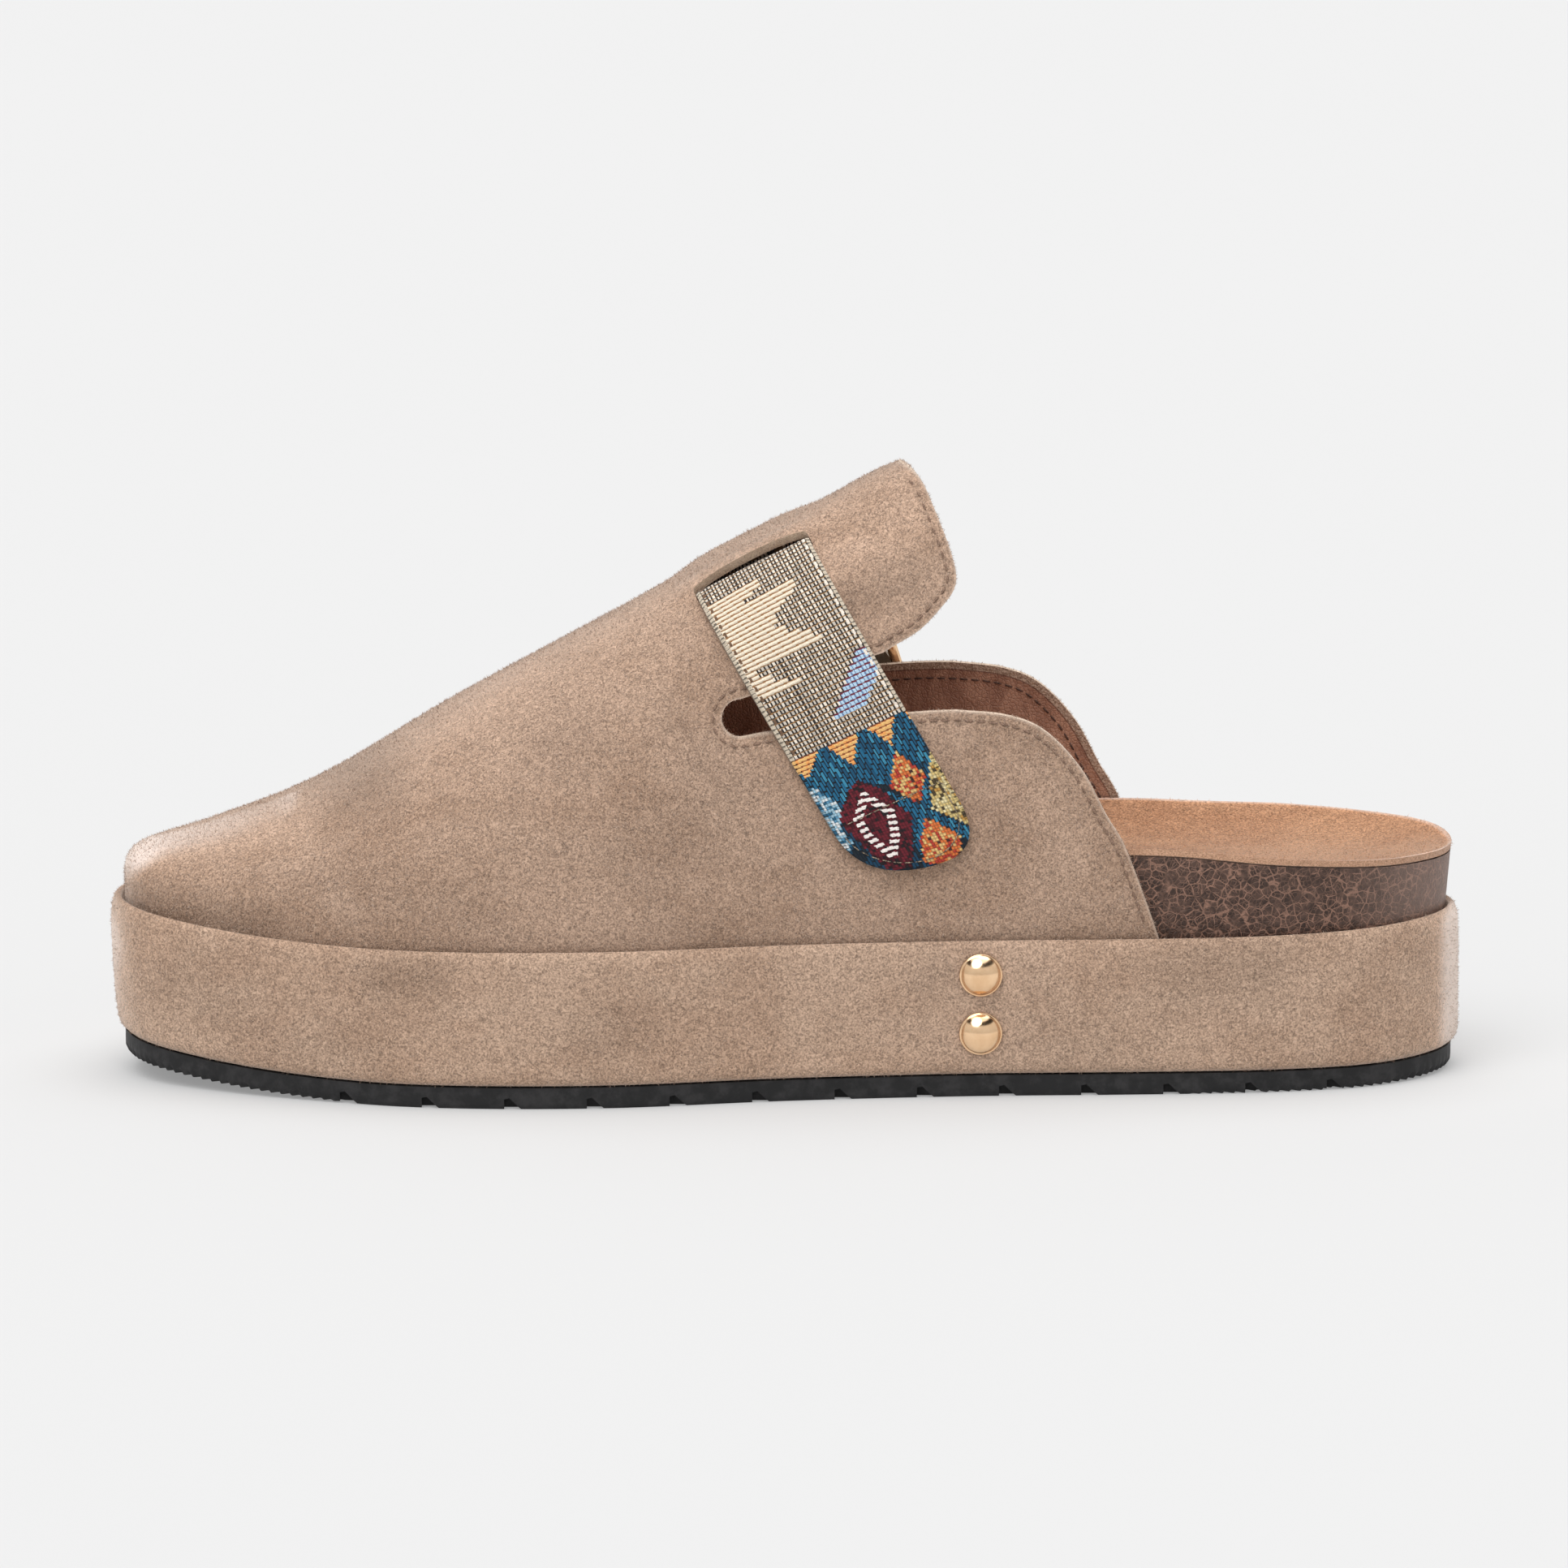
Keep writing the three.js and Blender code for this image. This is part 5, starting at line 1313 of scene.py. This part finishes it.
# Metal and tab: the part's own forms, rounded
def rounded(node, name, material, slot, voxel=None):
    """The part's own mesh of a node, subdivided, or remeshed with a voxel size in millimetres."""
    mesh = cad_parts[node].data.copy()
    mesh.materials.clear()
    mesh.materials.append(material)
    obj = linked(name, mesh)
    clean(mesh, 2e-6)
    if voxel:
        remesh = obj.modifiers.new("even", "REMESH")
        remesh.mode, remesh.voxel_size = "VOXEL", voxel * MM
        relax = obj.modifiers.new("soft", "SMOOTH")
        relax.factor, relax.iterations = 0.5, 6
    else:
        turn = obj.modifiers.new("round", "SUBSURF")
        turn.levels = turn.render_levels = 2
    shade(obj, None)
    return piece(obj, slot, node)


rounded("buckle_frame", "buckle_wire", rose_gold, "gold_metal")
rounded("buckle_prong", "buckle_pin", rose_gold, "gold_metal")
rounded("buckle_tab", "buckle_tab_suede", tab_suede, "suede", voxel=0.3)


def build_stud(node, name):
    """Domed stud with a thin flange."""
    low, high = (np.array(corner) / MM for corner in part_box(node))
    centre = (low + high) / 2
    angle = angle_at(centre[0] / LENGTH)
    inner, outer = outline_side(angle, False, 1.0), outline_side(angle, False, -GAP)
    outward = unit(outer - inner)
    base = np.array([outer[0], outer[1], centre[2]])
    up = np.array([0, 0, 1.0])
    side = np.cross(up, outward)
    radius, height, flange = (high[2] - low[2]) / 2, 2.6, 0.42
    profile = [(radius - 0.1, 0.0), (radius, 0.12), (radius - 0.05, 0.36), (radius - 0.18, flange)]
    dome, rise = radius - 0.24, height - flange
    ball = (dome**2 + rise**2) / (2 * rise)
    widest = math.asin(dome / ball)
    profile += [(ball * math.sin(t), height - ball * (1 - math.cos(t))) for t in np.linspace(widest, 0, 16)]
    turn = np.linspace(0, 2 * math.pi, 64, endpoint=False)
    rows = [base + outward * h + (side * np.cos(turn)[:, None] + up * np.sin(turn)[:, None]) * max(r, 0.0)
            for r, h in [(0.0, 0.0), *profile]]
    skin = Skin()
    skin.grid(np.array(rows), 0, wrap=True)
    piece(skin.build(name, [rose_gold], 60), "gold_metal", node)


build_stud("stud_upper", "stud_dome_upper")
build_stud("stud_lower", "stud_dome_lower")


# Stage
FLOOR_TONE = 209


def build_stage():
    s = Shader("floor")
    color = s.mix(s.noise(400, 2, 0.5), srgb(*[FLOOR_TONE] * 3), srgb(*[FLOOR_TONE + 1] * 3))
    plain = s.node("BsdfDiffuse", Color=color, Roughness=0.0)
    glow = s.node("Emission", Color=srgb(241, 241, 241), Strength=1.0)
    share = s.node("MixShader", _0=0.3, _1=plain.outputs[0], _2=glow.outputs[0])
    s.tree.links.new(share.outputs[0], s.output.inputs["Surface"])
    corners = [(-30000, -12000, 0), (30000, -12000, 0), (30000, 60000, 0), (-30000, 60000, 0)]
    linked("floor", mesh_of("floor", corners, [(0, 1, 2, 3)], [s.material]))


def build_studio():
    """Even white room with a dark gap between its walls and its ceiling panel."""
    world = bpy.data.worlds.new("studio")
    bpy.context.scene.world = world
    world.use_nodes = True
    tree = world.node_tree
    place = tree.nodes.new("ShaderNodeTexCoord")
    split = tree.nodes.new("ShaderNodeSeparateXYZ")
    ramp = tree.nodes.new("ShaderNodeValToRGB")
    tree.links.new(place.outputs["Generated"], split.inputs[0])
    tree.links.new(split.outputs[2], ramp.inputs[0])
    tree.links.new(ramp.outputs[0], tree.nodes["Background"].inputs["Color"])
    tree.nodes["Background"].inputs["Strength"].default_value = 1.0
    stops = [(0.0, 0.62), (0.56, 0.78), (0.62, 0.04), (0.8, 0.04), (0.86, 1.5), (1.0, 1.5)]
    while len(ramp.color_ramp.elements) < len(stops):
        ramp.color_ramp.elements.new(0.5)
    for element, (at, level) in zip(ramp.color_ramp.elements, stops):
        element.position = at
        element.color = (level, level, level, 1)


def sun(name, toward, strength, softness):
    data = bpy.data.lights.new(name, "SUN")
    data.energy, data.angle = strength, math.radians(softness)
    linked(name, data).rotation_euler = Vector(toward).to_track_quat("Z", "Y").to_euler()


build_stage()
build_studio()
sun("key", (-0.35, -0.75, 1.15), 1.55, 45)
sun("top", (0.2, 0.35, 1.0), 0.85, 60)


CAMERA_ELEVATION = 10
CAMERA_DISTANCE = 2.6


def build_camera():
    elevation = math.radians(CAMERA_ELEVATION)
    target = Vector((-0.00024, 0, 0.0572))
    back = Vector((0, -math.cos(elevation), math.sin(elevation)))
    data = bpy.data.cameras.new("camera")
    data.lens, data.sensor_width, data.clip_end = 297.47, 36, 200
    data.dof.use_dof = False
    camera = bpy.context.scene.camera = linked("camera", data)
    camera.location = target + back * CAMERA_DISTANCE
    camera.rotation_euler = (-back).to_track_quat("-Z", "Y").to_euler()


build_camera()
bpy.context.scene.view_settings.view_transform = "Standard"
